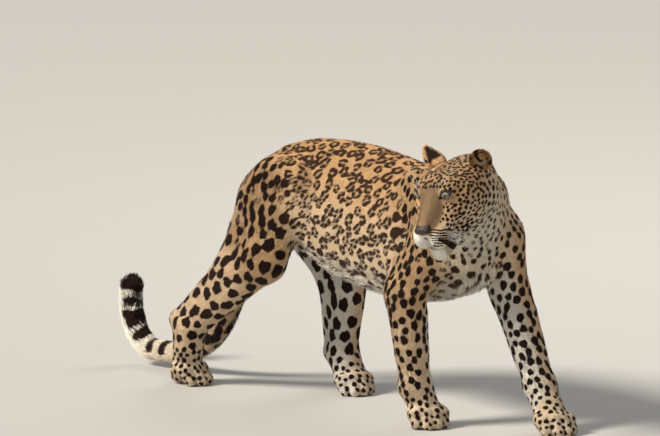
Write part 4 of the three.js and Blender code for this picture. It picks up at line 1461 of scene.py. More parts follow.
@dataclass
class Coat:
    """The coat: thin tufts that lie over one another, each a slim closed solid."""

    skin: Skin
    markings: Markings
    seed: int = 29
    patch: float = 0.003  # the size of a tuft's place on the map
    thickness: float = 0.3  # of a tuft, as a share of its width
    sunk: float = 0.6  # how deep its root sits in the skin, in millimetres

    def sow(self) -> Roots:
        """Spreads roots over the skin's faces."""
        skin, mesh, draw = self.skin, self.skin.obj.data, np.random.default_rng(self.seed)
        mesh.calc_loop_triangles()
        count = len(mesh.loop_triangles)
        tri, loops, area = np.empty(count * 3, np.int64), np.empty(count * 3, np.int64), np.empty(count)
        mesh.loop_triangles.foreach_get("vertices", tri)
        mesh.loop_triangles.foreach_get("loops", loops)
        mesh.loop_triangles.foreach_get("area", area)
        tri, loops = tri.reshape(-1, 3), loops.reshape(-1, 3)
        uv = np.empty(len(mesh.loops) * 2)
        mesh.uv_layers["OFBake"].data.foreach_get("uv", uv)
        uv = uv.reshape(-1, 2)
        p = skin.place.into(corners(mesh))
        patch = skin.shares @ np.array([GROWTH[r].patch for r in Region])
        wanted = area * 1e6 / patch[tri].mean(axis=1) * self.bare(p, skin.normal)[tri].min(axis=1)
        number = np.floor(wanted + draw.uniform(size=count)).astype(int)
        face = np.repeat(np.arange(count), number)
        a, b = draw.uniform(size=(2, len(face)))
        fold = a + b > 1
        a, b = np.where(fold, 1 - a, a), np.where(fold, 1 - b, b)
        share = np.stack([1 - a - b, a, b], axis=1)[:, :, None]
        blend = lambda values: (values[tri[face]] * share).sum(axis=1)
        shares, n, lie = blend(skin.shares), unit(blend(skin.normal)), unit(blend(skin.lie))
        root = blend(p)
        growth = {k: shares @ np.array([getattr(GROWTH[r], k) for r in Region]) for k in ("length", "width", "lift")}
        fading = faded(shares)
        ends = []
        for reach in (0.1, 0.85):
            # middle carries rosette middles, darker fur and painted shade.
            mark, middle = self.markings.at(root + lie * (growth["length"] * reach)[:, None], n)
            ends.append(np.stack([mark, middle, fading], axis=1))
        pale = skin.body.paleness(root, n, shares)
        place = (uv[loops[face]] * share).sum(axis=1)
        self.shares = shares
        return Roots(root, n, lie, growth["length"], growth["width"], growth["lift"], place, *ends, pale)

    def bare(self, p: np.ndarray, n: np.ndarray) -> np.ndarray:
        """Where tufts grow, 1, and where they don't, 0."""
        head = self.skin.animal.head
        q = head.into(p)
        grows = np.ones(len(p))
        for side in Side:
            edge, away = head.opening(q, side)
            grows[(edge < 1.4) & (away < 24)] = 0
        q = head.straight(q)
        nose = limb((141, 0, 10), (141, 0, -12), 17, 7)
        grows[nose(q) < 0] = 0
        above = head.above_mouth(q)
        near_mouth = (np.abs(above) < 2.2) & (q[:, 0] > 46) & (np.linalg.norm(q, axis=1) < 190)
        grows[near_mouth] = 0
        grows[(p[:, 2] < 4.5) & (n[:, 2] < -0.5)] = 0
        return grows

    def tufts(self, name: str, roots: Roots, bent: bool) -> bpy.types.Object:
        """A piece of the coat.

        Args:
            name: The piece's name.
            roots: Where its tufts grow.
            bent: Whether each tuft bends down half way.

        Returns:
            The piece.
        """
        draw = np.random.default_rng(self.seed + len(name))
        count = len(roots.p)
        swirl = 0.10 * wave(roots.p, 30, 41) + draw.normal(0, 0.13, count)
        side = np.cross(roots.n, roots.lie)
        lie = roots.lie * np.cos(swirl)[:, None] + side * np.sin(swirl)[:, None]
        side = np.cross(roots.n, lie)
        lift = np.radians(np.clip(roots.lift * (1 + 0.2 * wave(roots.p, 16, 42)) + draw.normal(0, 3.0, count), 4, 60))
        length = roots.length * draw.uniform(0.75, 1.15, count)
        width = roots.width * draw.uniform(0.8, 1.2, count) * 0.5
        rise = lambda angle: lie * np.cos(angle)[:, None] + roots.n * np.sin(angle)[:, None]
        base = roots.p - roots.n * self.sunk
        thick = width * self.thickness * 2
        ring = [-side * width[:, None], side * width[:, None], roots.n * thick[:, None]]
        if bent:
            first, second = rise(lift * 1.35), rise(lift * 0.4)
            middle = base + first * (0.5 * length)[:, None]
            tip = middle + second * (0.5 * length)[:, None]
            rows = [base + r for r in ring] + [middle + r * 0.9 for r in ring] + [tip]
            shape = [(0, 2, 1), (0, 1, 4), (0, 4, 3), (1, 2, 5), (1, 5, 4), (2, 0, 3), (2, 3, 5)]
            shape += [(3, 4, 6), (4, 5, 6), (5, 3, 6)]
            along = [0, 0, 0, 0.5, 0.5, 0.5, 1]
        else:
            tip = base + rise(lift) * length[:, None]
            rows = [base + r for r in ring] + [tip]
            shape = [(0, 2, 1), (0, 1, 3), (1, 2, 3), (2, 0, 3)]
            along = [0, 0, 0, 1]
        size = len(rows)
        p = np.stack(rows, axis=1).reshape(-1, 3)
        p[:, 2] = np.maximum(p[:, 2], self.skin.sole)
        step = (np.arange(count) * size)[:, None, None]
        triangles = (np.array(shape)[None] + step).reshape(-1, 3)
        mesh = mesh_of(name, self.skin.place.out(p), triangles)
        jitter = (1, 0, 0) * draw.normal(0, 0.3, (count, 1))
        share = np.array(along)[None, :, None]
        marking = roots.marking[:, None] * (1 - share) + roots.ahead[:, None] * share + jitter[:, None]
        keep(mesh, "marking", marking.reshape(-1, 3))
        strand = np.stack([np.repeat(roots.pale, size), np.repeat(draw.uniform(size=count), size), np.tile(along, count)], 1)
        keep(mesh, "strand", strand)
        layer = mesh.uv_layers.new(name="OFBake")
        nudge = np.array([(-0.4, -0.4), (0.4, -0.4), (0, -0.1), (-0.3, 0.1), (0.3, 0.1), (0, 0.2), (0, 0.5)])
        nudge = nudge[[0, 1, 2, 3, 4, 5, 6] if bent else [0, 1, 2, 6]] * self.patch
        spots = (roots.map[:, None, :] + nudge[None]).reshape(-1, 2)
        layer.data.foreach_set("uv", np.ascontiguousarray(spots[triangles.ravel()], dtype=np.float32).ravel())
        obj = bpy.data.objects.new(name, mesh)
        bpy.context.scene.collection.objects.link(obj)
        return obj

    def pieces(self, roots: Roots) -> dict[str, tuple[np.ndarray, bool]]:
        """The pieces' names, with the roots of each and whether its tufts bend."""
        place = self.shares.argmax(axis=1)
        is_in = lambda *regions: np.isin(place, [r.value for r in regions])
        left = roots.p[:, 1] > np.interp(roots.p[:, 0], *np.array(Trunk().stations)[:, :2].T)
        q = self.skin.animal.head.into(roots.p)
        fore = is_in(Region.SHOULDER) | (is_in(Region.SHIN, Region.FOOT) & (roots.p[:, 0] > -250))
        hind = is_in(Region.THIGH) | (is_in(Region.SHIN, Region.FOOT) & (roots.p[:, 0] <= -250))
        head = is_in(Region.CROWN, Region.CHEEK, Region.MUZZLE)
        return {
            "coat_back_right": (is_in(Region.BACK) & ~left, False),
            "coat_back_left": (is_in(Region.BACK) & left, False),
            "coat_belly": (is_in(Region.BELLY), True),
            "coat_neck": (is_in(Region.NECK), False),
            "coat_chest": (is_in(Region.CHEST), True),
            "coat_foreleg_right": (fore & (roots.p[:, 1] < 0), False),
            "coat_foreleg_left": (fore & (roots.p[:, 1] >= 0), False),
            "coat_hindleg_right": (hind & (roots.p[:, 1] < 0), False),
            "coat_hindleg_left": (hind & (roots.p[:, 1] >= 0), False),
            "coat_head_right": (head & (q[:, 1] < 0), False),
            "coat_head_left": (head & (q[:, 1] >= 0), False),
            "coat_tail": (is_in(Region.TAIL), False),
            "coat_tail_end": (is_in(Region.TAIL_END), True),
        }

    def build(self) -> list[bpy.types.Object]:
        """Makes every piece of the coat."""
        roots = self.sow()
        made = []
        for name, (chosen, bent) in self.pieces(roots).items():
            obj = self.tufts(name, roots.only(chosen), bent)
            LOG.info("%s: %d tufts, %d triangles", name, int(chosen.sum()), len(obj.data.polygons))
            made.append(obj)
        return made


def faded(shares: np.ndarray) -> np.ndarray:
    """How much the marks fade to brown, on the belly most."""
    fade = np.zeros(len(Region))
    fade[Region.BELLY.value] = 0.6
    fade[Region.CHEST.value] = 0.12
    fade[Region.BACK.value] = 0.16
    return shares @ fade


@dataclass(frozen=True)
class CoatPaint:
    """The colours of the coat, with its marks."""

    golden: tuple[float, float, float] = (0.50, 0.285, 0.12)
    tan: tuple[float, float, float] = (0.67, 0.445, 0.24)
    cream: tuple[float, float, float] = (0.79, 0.62, 0.42)
    white: tuple[float, float, float] = (0.80, 0.76, 0.68)
    mark: tuple[float, float, float] = (0.019, 0.0065, 0.003)
    faint: tuple[float, float, float] = (0.15, 0.064, 0.026)
    edge: float = 0.7  # how softly a mark ends, in millimetres
    grain: float = 900.0  # of the finest hairs
    roughness: float = 0.62

    def build(self, name: str, on_skin: bool) -> bpy.types.Material:
        """Makes the finish.

        Args:
            name: The material's name.
            on_skin: Whether it is for the skin, which is rougher and has short hair as bump.

        Returns:
            The material.
        """
        paint = bpy.data.materials.new(name)
        paint.use_nodes = True
        tree = paint.node_tree
        shader = tree.nodes["Principled BSDF"]
        link = tree.links.new
        marking, strand = (self.reader(tree, key) for key in ("marking", "strand"))
        place = tree.nodes.new("ShaderNodeTexCoord").outputs["Object"]
        noise = tree.nodes.new("ShaderNodeTexNoise")
        noise.inputs["Scale"].default_value = self.grain / (3 if on_skin else 1)
        noise.inputs["Detail"].default_value = 2
        link(place, noise.inputs["Vector"])
        ramp = tree.nodes.new("ShaderNodeValToRGB")
        stops = ((0.0, self.golden), (0.38, self.tan), (0.66, self.cream), (1.0, self.white))
        for i, (at, colour) in enumerate(stops):
            element = ramp.color_ramp.elements[i] if i < 2 else ramp.color_ramp.elements.new(at)
            element.position = at
            element.color = (*colour, 1)
        link(strand["X"], ramp.inputs["Fac"])
        # Darker, greyer brown by the second marking number: rosette middles and darker fur, and painted shade on the
        # bridge, under the jaw and in the folds.
        dark_fur_and_painted_shade = self.mixed(tree, marking["Y"], ramp.outputs["Color"], (0.19, 0.122, 0.066, 1), "MIX")
        shade = self.sum(tree, [(strand["Y"], 0.30), (noise.outputs["Fac"], 0.35), (strand["Z"], 0.24)], 0.56)
        toned = self.mixed(tree, None, dark_fur_and_painted_shade, shade, "MULTIPLY")
        black = self.mixed(tree, marking["Z"], (*self.mark, 1), (*self.faint, 1), "MIX")
        jagged = self.sum(tree, [(noise.outputs["Fac"], 1.6), (marking["X"], 1.0)], -0.8)
        step = tree.nodes.new("ShaderNodeMapRange")
        step.interpolation_type = "SMOOTHSTEP"
        step.inputs["From Min"].default_value = -self.edge
        step.inputs["From Max"].default_value = self.edge
        link(jagged, step.inputs["Value"])
        colour = self.mixed(tree, step.outputs["Result"], toned, black, "MIX")
        link(colour, shader.inputs["Base Color"])
        shader.inputs["Roughness"].default_value = 0.85 if on_skin else self.roughness
        shader.inputs["Specular IOR Level"].default_value = 0.14
        shader.inputs["Sheen Weight"].default_value = 0.02
        shader.inputs["Sheen Roughness"].default_value = 0.5
        if on_skin:
            bump = tree.nodes.new("ShaderNodeBump")
            bump.inputs["Strength"].default_value = 0.4
            bump.inputs["Distance"].default_value = 0.0012
            link(noise.outputs["Fac"], bump.inputs["Height"])
            link(bump.outputs["Normal"], shader.inputs["Normal"])
        return paint

    def reader(self, tree: bpy.types.NodeTree, key: str) -> dict[str, bpy.types.NodeSocket]:
        """The three numbers that a mesh keeps under a name."""
        source = tree.nodes.new("ShaderNodeAttribute")
        source.attribute_name = key
        split = tree.nodes.new("ShaderNodeSeparateXYZ")
        tree.links.new(source.outputs["Vector"], split.inputs["Vector"])
        return {axis: split.outputs[axis] for axis in "XYZ"}

    def sum(self, tree: bpy.types.NodeTree, parts: list, start: float) -> bpy.types.NodeSocket:
        """A start plus each value times its weight."""
        total = None
        for value, weight in parts:
            node = tree.nodes.new("ShaderNodeMath")
            node.operation = "MULTIPLY_ADD"
            tree.links.new(value, node.inputs[0])
            node.inputs[1].default_value = weight
            if total is None:
                node.inputs[2].default_value = start
            else:
                tree.links.new(total, node.inputs[2])
            total = node.outputs[0]
        return total

    def mixed(self, tree: bpy.types.NodeTree, share: object, a: object, b: object, blend: str) -> bpy.types.NodeSocket:
        """Two colours mixed; each is a socket or a fixed colour, and so is the share."""
        node = tree.nodes.new("ShaderNodeMix")
        node.data_type = "RGBA"
        node.blend_type = blend
        for value, socket in ((share, node.inputs[0]), (a, node.inputs[6]), (b, node.inputs[7])):
            if value is None:
                socket.default_value = 1.0
            elif isinstance(value, bpy.types.NodeSocket):
                tree.links.new(value, socket)
            else:
                socket.default_value = value
        return node.outputs[2]


@dataclass(frozen=True)
class Finish:
    """A plain finish of skin, with grain and mottling."""

    name: str
    colour: Triple
    other: Triple
    roughness: float
    scale: float
    bump: float

    def build(self) -> bpy.types.Material:
        """Makes the finish."""
        paint = bpy.data.materials.new(self.name)
        paint.use_nodes = True
        tree = paint.node_tree
        shader = tree.nodes["Principled BSDF"]
        place = tree.nodes.new("ShaderNodeTexCoord").outputs["Object"]
        blotch, grain = tree.nodes.new("ShaderNodeTexNoise"), tree.nodes.new("ShaderNodeTexVoronoi")
        blotch.inputs["Scale"].default_value = self.scale / 4
        grain.inputs["Scale"].default_value = self.scale
        for node in (blotch, grain):
            tree.links.new(place, node.inputs["Vector"])
        mix = tree.nodes.new("ShaderNodeMix")
        mix.data_type = "RGBA"
        tree.links.new(blotch.outputs["Fac"], mix.inputs[0])
        mix.inputs[6].default_value = (*self.colour, 1)
        mix.inputs[7].default_value = (*self.other, 1)
        tree.links.new(mix.outputs[2], shader.inputs["Base Color"])
        shader.inputs["Roughness"].default_value = self.roughness
        bump = tree.nodes.new("ShaderNodeBump")
        bump.inputs["Strength"].default_value = 0.5
        bump.inputs["Distance"].default_value = self.bump
        tree.links.new(grain.outputs["Distance"], bump.inputs["Height"])
        tree.links.new(bump.outputs["Normal"], shader.inputs["Normal"])
        return paint


def tube(path: np.ndarray, radii: np.ndarray, sides: int, closed: bool) -> tuple[np.ndarray, np.ndarray]:
    """A tube along a path.

    Args:
        path: Its middle line.
        radii: Its radius at each point of the line.
        sides: How many sides it has.
        closed: Whether the line ends where it starts; otherwise the tube's ends close in a point.

    Returns:
        Its places and its triangles.
    """
    count = len(path)
    if closed:
        heading = unit(np.roll(path, -1, axis=0) - np.roll(path, 1, axis=0))
    else:
        heading = unit(np.gradient(path, axis=0))
    start = unit(np.cross(heading, unit(np.array([0.21, 0.35, 0.91]))))
    other = np.cross(heading, start)
    turn = np.arange(sides) * 2 * math.pi / sides
    ring = np.cos(turn)[None, :, None] * start[:, None] + np.sin(turn)[None, :, None] * other[:, None]
    p = (path[:, None] + ring * radii[:, None, None]).reshape(-1, 3)
    triangles = []
    for i in range(count if closed else count - 1):
        j = (i + 1) % count
        for k in range(sides):
            m = (k + 1) % sides
            a, b, c, d = i * sides + k, i * sides + m, j * sides + m, j * sides + k
            triangles += [(a, b, c), (a, c, d)]
    if not closed:
        p = np.concatenate([p, path[:1], path[-1:]])
        for k in range(sides):
            m = (k + 1) % sides
            triangles += [(len(p) - 2, m, k), (len(p) - 1, (count - 1) * sides + k, (count - 1) * sides + m)]
    return p, np.array(triangles)


def gathered(parts: list[tuple[np.ndarray, np.ndarray]]) -> tuple[np.ndarray, np.ndarray]:
    """Several meshes' places and triangles as one."""
    places, triangles, start = [], [], 0
    for p, t in parts:
        places.append(p)
        triangles.append(t + start)
        start += len(p)
    return np.concatenate(places), np.concatenate(triangles)


@dataclass(frozen=True)
class Ear:
    """An ear, as a cup between its outer and its inner face, in the head's frame."""

    side: Side
    base: Triple
    tip: Triple
    opens: Triple
    width: float
    depth: float
    power: float  # with blunt, the outline of the ear over its widest part
    blunt: float
    wall: float = 3.0
    widest: float = 0.32
    top: float = 1.05
    sunk: float = 0.18
    columns: int = 28
    rows: int = 22

    def frame(self) -> tuple[np.ndarray, np.ndarray, np.ndarray, float]:
        """The directions up, across and out of the cup, and the ear's height."""
        rise = np.subtract(self.tip, self.base)
        height = float(np.linalg.norm(rise))
        up = rise / height
        out = np.asarray(self.opens, float)
        out = unit(out - (out @ up) * up)
        return up, np.cross(up, out), out, height

    def face(self, u: np.ndarray, v: np.ndarray, inner: float) -> np.ndarray:
        """Points of the outer face, or of the inner one where inner is 1."""
        up, across, out, height = self.frame()
        low = 0.9 + 0.1 * np.sin(np.minimum(v / self.widest, 1) * math.pi / 2)
        over = np.clip(v - self.widest, 0, None) / (self.top - self.widest)
        high = np.clip(1 - over**self.power, 0, None) ** self.blunt
        half = np.maximum(self.width / 2 * low * high * (1 - 0.09 * inner), 0.2)
        deep = self.depth * (1 - 0.55 * v) * np.sqrt(np.clip(high, 0.05, None)) - inner * self.wall
        rise = (v * (1 + self.sunk) - self.sunk) * height - inner * v * self.wall * 0.6
        bowl = -deep * np.sqrt(np.clip(1 - (0.96 * u) ** 2, 0, None)) + 6 * v
        return np.asarray(self.base) + rise[:, None] * up + (half * u)[:, None] * across + bowl[:, None] * out

    def grid(self, inner: float) -> tuple[np.ndarray, np.ndarray, np.ndarray]:
        """Points of a face, row by row, with their places across and up the ear."""
        u, v = np.meshgrid(np.linspace(-1, 1, self.columns), np.linspace(0, 1, self.rows) ** 0.9 * self.top)
        u, v = np.sin(u.ravel() * math.pi / 2), v.ravel()
        return self.face(u, v, inner), u, v

    def solid(self) -> tuple[np.ndarray, np.ndarray]:
        """The ear's places and triangles."""
        outer, inner = self.grid(0.0)[0], self.grid(1.0)[0]
        n, m = self.columns, self.rows
        step = n * m
        quads = []
        for i in range(m - 1):
            for k in range(n - 1):
                a, b, c, d = i * n + k, i * n + k + 1, (i + 1) * n + k + 1, (i + 1) * n + k
                quads += [(a, b, c, d), (a + step, d + step, c + step, b + step)]
            a, d = i * n, (i + 1) * n
            quads.append((a, d, d + step, a + step))
            a, d = i * n + n - 1, (i + 1) * n + n - 1
            quads.append((a, a + step, d + step, d))
        for k in range(n - 1):
            quads.append((k, k + step, k + 1 + step, k + 1))
            a = (m - 1) * n + k
            quads.append((a, a + 1, a + 1 + step, a + step))
        triangles = [t for a, b, c, d in quads for t in ((a, b, c), (a, c, d))]
        return np.concatenate([outer, inner]), np.array(triangles)


@dataclass
class HeadPieces:
    """The pieces of the head beside its skin and coat."""

    animal: Animal
    place: Place
    coat: Coat
    ears: tuple[Ear, ...] = (
        Ear(Side.LEFT, (-46, 62, 40), (-61, 80, 75), (0.9, 0.42, 0), 52, 22, 2.0, 0.6),
        Ear(Side.RIGHT, (-42, -55, 44), (-56, -79, 83), (-0.3, -0.95, 0.15), 49, 16, 1.4, 0.9),
    )
    gaze_outward: float = 20
    gaze_upward: float = 9
    seed: int = 5

    def add(self, name: str, q: np.ndarray, triangles: np.ndarray, slot: str, *replaced: str) -> bpy.types.Object:
        """Adds a piece from places in the head's frame."""
        mesh = mesh_of(name, self.place.out(self.animal.head.out(q)), triangles)
        obj = bpy.data.objects.new(name, mesh)
        bpy.context.scene.collection.objects.link(obj)
        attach(obj, BODY)
        if replaced:
            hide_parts(*replaced)
        return obj

    def eye(self, side: Side, finish: bpy.types.Material) -> None:
        """An eyeball with a clear bulge over its iris."""
        head = self.animal.head
        bpy.ops.object.select_all(action="DESELECT")
        bpy.ops.mesh.primitive_uv_sphere_add(segments=80, ring_count=60, radius=1)
        ball = bpy.context.active_object
        shape = bmesh.new()
        shape.from_mesh(ball.data)
        bmesh.ops.triangulate(shape, faces=shape.faces)
        unit_ball = np.array([v.co for v in shape.verts])
        triangles = np.array([[v.index for v in f.verts] for f in shape.faces])
        shape.free()
        bpy.data.objects.remove(ball)
        look = head.gaze(side, self.gaze_outward, self.gaze_upward)
        across = unit(np.cross((0, 0, 1), look))
        frame = np.stack([across, np.cross(look, across), look])
        angle = np.arccos(np.clip(unit_ball[:, 2], -1, 1))
        radius = head.eye_radius + 1.2 * np.clip(1 - (angle / 0.62) ** 2, 0, None)
        q = head.eye_centre(side) + (unit_ball * radius[:, None]) @ frame
        name = "eye_" + side.name.lower()
        obj = self.add(name + "_fine", q, triangles, "eye", name)
        around = np.arctan2(unit_ball[:, 1], unit_ball[:, 0])
        keep(obj.data, "iris", np.stack([angle * head.eye_radius, np.cos(around), np.sin(around)], axis=1))
        obj.data.materials.append(finish)

    def eye_finish(self) -> bpy.types.Material:
        """Pupil, iris with fine rays, and the dark ring round it, under a wet coat."""
        paint = bpy.data.materials.new("eye")
        paint.use_nodes = True
        tree = paint.node_tree
        link = tree.links.new
        shader = tree.nodes["Principled BSDF"]
        source = tree.nodes.new("ShaderNodeAttribute")
        source.attribute_name = "iris"
        split = tree.nodes.new("ShaderNodeSeparateXYZ")
        link(source.outputs["Vector"], split.inputs["Vector"])
        rays = tree.nodes.new("ShaderNodeTexNoise")
        rays.inputs["Scale"].default_value = 5.0
        rays.inputs["Detail"].default_value = 4
        squeezed = tree.nodes.new("ShaderNodeVectorMath")
        squeezed.operation = "MULTIPLY"
        squeezed.inputs[1].default_value = (0.12, 3.0, 3.0)
        link(source.outputs["Vector"], squeezed.inputs[0])
        link(squeezed.outputs["Vector"], rays.inputs["Vector"])
        along = tree.nodes.new("ShaderNodeMath")
        along.operation = "MULTIPLY_ADD"
        along.inputs[1].default_value = 0.08
        along.inputs[2].default_value = 0.0
        link(split.outputs["X"], along.inputs[0])
        ramp = tree.nodes.new("ShaderNodeValToRGB")
        stops = (
            (0.0, (0.004, 0.004, 0.004)),
            (0.22, (0.004, 0.004, 0.004)),
            (0.27, (0.16, 0.13, 0.05)),
            (0.42, (0.36, 0.34, 0.19)),
            (0.68, (0.42, 0.43, 0.30)),
            (0.80, (0.14, 0.13, 0.08)),
            (0.88, (0.015, 0.010, 0.008)),
            (1.0, (0.02, 0.012, 0.010)),
        )
        for i, (at, colour) in enumerate(stops):
            element = ramp.color_ramp.elements[i] if i < 2 else ramp.color_ramp.elements.new(at)
            element.position = at
            element.color = (*colour, 1)
        link(along.outputs[0], ramp.inputs["Fac"])
        mix = tree.nodes.new("ShaderNodeMix")
        mix.data_type = "RGBA"
        mix.blend_type = "MULTIPLY"
        mix.inputs[0].default_value = 0.6
        link(ramp.outputs["Color"], mix.inputs[6])
        link(rays.outputs["Fac"], mix.inputs[7])
        link(mix.outputs[2], shader.inputs["Base Color"])
        shader.inputs["Roughness"].default_value = 0.25
        shader.inputs["Coat Weight"].default_value = 1.0
        shader.inputs["Coat Roughness"].default_value = 0.03
        return paint

    def rims(self, finish: bpy.types.Material) -> None:
        """The dark edges of the lids round both eyes, thicker along the upper lid."""
        head, parts = self.animal.head, []
        for side in Side:
            long, short, look = head.eye_frame(side)
            half, height = head.opening_width / 2, head.opening_height
            turn = np.linspace(0, 2 * math.pi, 60, endpoint=False)
            a = half * np.cos(turn) * 0.985
            lift = 1 - (a / half) ** 2
            b = np.where(np.sin(turn) > 0, 0.575, -0.425) * height * lift
            radius = head.eye_radius + 0.9
            c = np.sqrt(np.clip(radius**2 - a**2 - b**2, 1, None))
            q = head.eye_centre(side) + a[:, None] * long + b[:, None] * short + c[:, None] * look
            thick = 1.45 + 0.9 * (np.sin(turn) > 0) * np.sin(turn)
            parts.append(tube(q, thick, 8, True))
        obj = self.add("eye_rims", *gathered(parts), "nose")
        obj.data.materials.append(finish)

    def nose(self, finish: bpy.types.Material) -> None:
        """The nose leather: the solid, rounded."""
        source = bpy.data.objects["nose"]
        made = source.copy()
        made.data = source.data.copy()
        bpy.context.scene.collection.objects.link(made)
        alone(made)
        made.name = "nose_leather"
        made.parent = None
        made.data.materials.clear()
        bpy.ops.object.transform_apply(location=True, rotation=True, scale=True)
        closed = made.modifiers.new("closed", "REMESH")
        closed.mode = "VOXEL"
        closed.voxel_size = 0.0009
        bpy.ops.object.modifier_apply(modifier=closed.name)
        even = made.modifiers.new("even", "SMOOTH")
        even.factor = 0.6
        even.iterations = 14
        bpy.ops.object.modifier_apply(modifier=even.name)
        q = self.animal.head.into(self.place.into(corners(made.data)))
        middle = np.array([128.0, 0.0, -16.0])
        q = middle + (q - middle) * (0.98, 0.86, 0.9)
        set_corners(made.data, self.place.out(self.animal.head.out(q)))
        made.data.shade_smooth()
        made.data.materials.append(finish)
        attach(made, BODY)
        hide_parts("nose")

    def surface(self, start: np.ndarray, direction: np.ndarray) -> np.ndarray:
        """Where a line from inside the head leaves its skin."""
        head = self.animal.head
        form = flesh([*head.skull(), *head.chin(), *head.muzzle()])
        low, high = 0.0, 70.0
        for _ in range(24):
            middle = (low + high) / 2
            if form(head.straight((start + direction * middle)[None]))[0] < -1.6:
                low = middle
            else:
                high = middle
        return start + direction * low

    def whiskers(self, finish: bpy.types.Material) -> None:
        """Long white whiskers on the pads, and a few over the eyes."""
        draw, parts, head = np.random.default_rng(self.seed), [], self.animal.head
        for side in Side:
            for row in range(4):
                for k in range(5):
                    back = 22 + 7.5 * k
                    start = np.array([145 - back, 0, max(-46, 7 - 7.2 * row - 0.85 * (back - 3))])
                    start[2] -= float(head.droop(start[0]))
                    root = self.surface(start, np.array([0.0, side.value, 0.0]))
                    spread = np.array([-0.42 - 0.10 * k, side.value * (0.75 - 0.08 * k), -0.50 - 0.10 * row])
                    heading = unit(spread + draw.normal(0, 0.06, 3))
                    length = draw.uniform(38, 52) + 6 * k
                    t = np.linspace(0, 1, 12)
                    droop = np.array([-0.12, 0, -0.30]) * length
                    path = root + heading * length * t[:, None] + droop * (t**2)[:, None]
                    parts.append(tube(path, np.interp(t, (0, 0.3, 1), (0.5, 0.42, 0.08)), 5, False))
            for k in range(3):
                start = np.array([60 - 4.0 * k, (26 + 5 * k) * side.value, 40])
                root = self.surface(start, np.array([0.25, 0.1 * side.value, 0.95]))
                heading = unit(np.array([0.45 - 0.35 * k, 0.35 * side.value, 0.8]) + draw.normal(0, 0.05, 3))
                t = np.linspace(0, 1, 12)
                droop = np.array([-0.45, 0.25 * side.value, -0.35]) * 52
                path = root + heading * 52 * t[:, None] + droop * (t**2)[:, None]
                parts.append(tube(path, np.interp(t, (0, 0.3, 1), (0.45, 0.38, 0.08)), 5, False))
        obj = self.add("whiskers", *gathered(parts), "fur")
        obj.data.materials.append(finish)

    def ear(self, ear: Ear, short: bpy.types.Material, long: bpy.types.Material) -> None:
        """An ear, with the hair on both its faces."""
        head = self.animal.head
        q, triangles = ear.solid()
        name = "ear_" + ear.side.name.lower()
        obj = self.add(name + "_fine", q, triangles, "fur", name)
        _, u, v = ear.grid(0.0)
        marking, pale = self.ear_marks(u, v, False), self.ear_pale(u, v, False)
        inner, inner_pale = self.ear_marks(u, v, True), self.ear_pale(u, v, True)
        keep(obj.data, "marking", np.concatenate([marking, inner]))
        pales = np.concatenate([pale, inner_pale])
        keep(obj.data, "strand", np.stack([pales, np.full(len(q), 0.5), np.full(len(q), 0.1)], axis=1))
        obj.data.materials.append(short)
        alone(obj)
        bpy.ops.object.mode_set(mode="EDIT")
        bpy.ops.mesh.select_all(action="SELECT")
        bpy.ops.uv.smart_project(angle_limit=math.radians(66), island_margin=0.01)
        bpy.ops.object.mode_set(mode="OBJECT")
        obj.data.uv_layers[0].name = "OFBake"
        roots = [self.ear_roots(ear, inside) for inside in (False, True)]
        joined_roots = Roots(*(np.concatenate([getattr(r, k) for r in roots]) for k in Roots.__dataclass_fields__))
        hair = self.coat.tufts(f"coat_{name}", joined_roots, True)
        hair.data.materials.append(long)
        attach(hair, BODY)

    def ear_marks(self, u: np.ndarray, v: np.ndarray, inside: bool) -> np.ndarray:
        """The marks on an ear: a black back above its lower third and within its edges, and dark spots inside."""
        spread = np.stack([22 * u, 40 * v, 0 * u], axis=1)
        if inside:
            value = 6 * wave(spread, 8, 51) - 1.2 - 6 * ease(0.4, 0.2, v)
        else:
            value = np.minimum((0.80 - np.abs(u)) * 22, (v - 0.36) * 40) + 1.2 * wave(spread, 8, 52)
        return np.stack([value, 0 * u, 0 * u], axis=1)

    def ear_pale(self, u: np.ndarray, v: np.ndarray, inside: bool) -> np.ndarray:
        """How pale the hair on an ear is."""
        low = ease(0.75, 0.3, v) * ease(0.8, 0.3, np.abs(u))
        return 0.04 + 0.42 * low if inside else 0.15 + 0.45 * ease(0.6, 0.9, np.abs(u))

    def ear_roots(self, ear: Ear, inside: bool) -> Roots:
        """Roots spread over a face of an ear."""
        draw = np.random.default_rng(self.seed + ear.side.value + inside)
        count = 1900 if inside else 2600
        u = draw.uniform(-1, 1, count)
        v = draw.uniform(0.12, ear.top * 0.985, count)
        u = np.where(draw.uniform(size=count) < 0.35, np.sign(u) * np.abs(u) ** 0.35, u) if inside else u
        step = 0.01
        q = ear.face(u, v, float(inside))
        du = ear.face(np.clip(u + step, -1, 1), v, float(inside)) - ear.face(np.clip(u - step, -1, 1), v, float(inside))
        dv = ear.face(u, v + step, float(inside)) - ear.face(u, v - step, float(inside))
        n = unit(np.cross(du, dv)) * (-1 if inside else 1)
        _, _, out, _ = ear.frame()
        middle = ear.face(np.zeros(count), v, float(inside))
        away = q - middle
        facing = np.sum(n * (out if inside else -out), axis=1)
        n = np.where((facing < 0)[:, None] & (np.abs(u) < 0.6)[:, None], -n, n)
        lie = unit(dv) + unit(away + 1e-6) * (0.7 if inside else 0.25)
        lie = unit(lie - np.sum(lie * n, axis=1, keepdims=True) * n)
        turn = self.animal.head.turn().T
        length = np.where(np.abs(u) > 0.7, 13.0, 9.0) if inside else np.full(count, 6.5)
        marking = self.ear_marks(u, v, inside)
        edge = 0.25 + 0.2 * (u + 1) / 2
        return Roots(
            self.animal.head.out(q),
            n @ turn,
            lie @ turn,
            length,
            np.full(count, 1.1),
            np.full(count, 22.0 if inside else 16.0),
            np.stack([edge + 0.5 * inside * 0.5, 0.2 + 0.6 * v], axis=1),
            marking,
            marking,
            self.ear_pale(u, v, inside),
        )

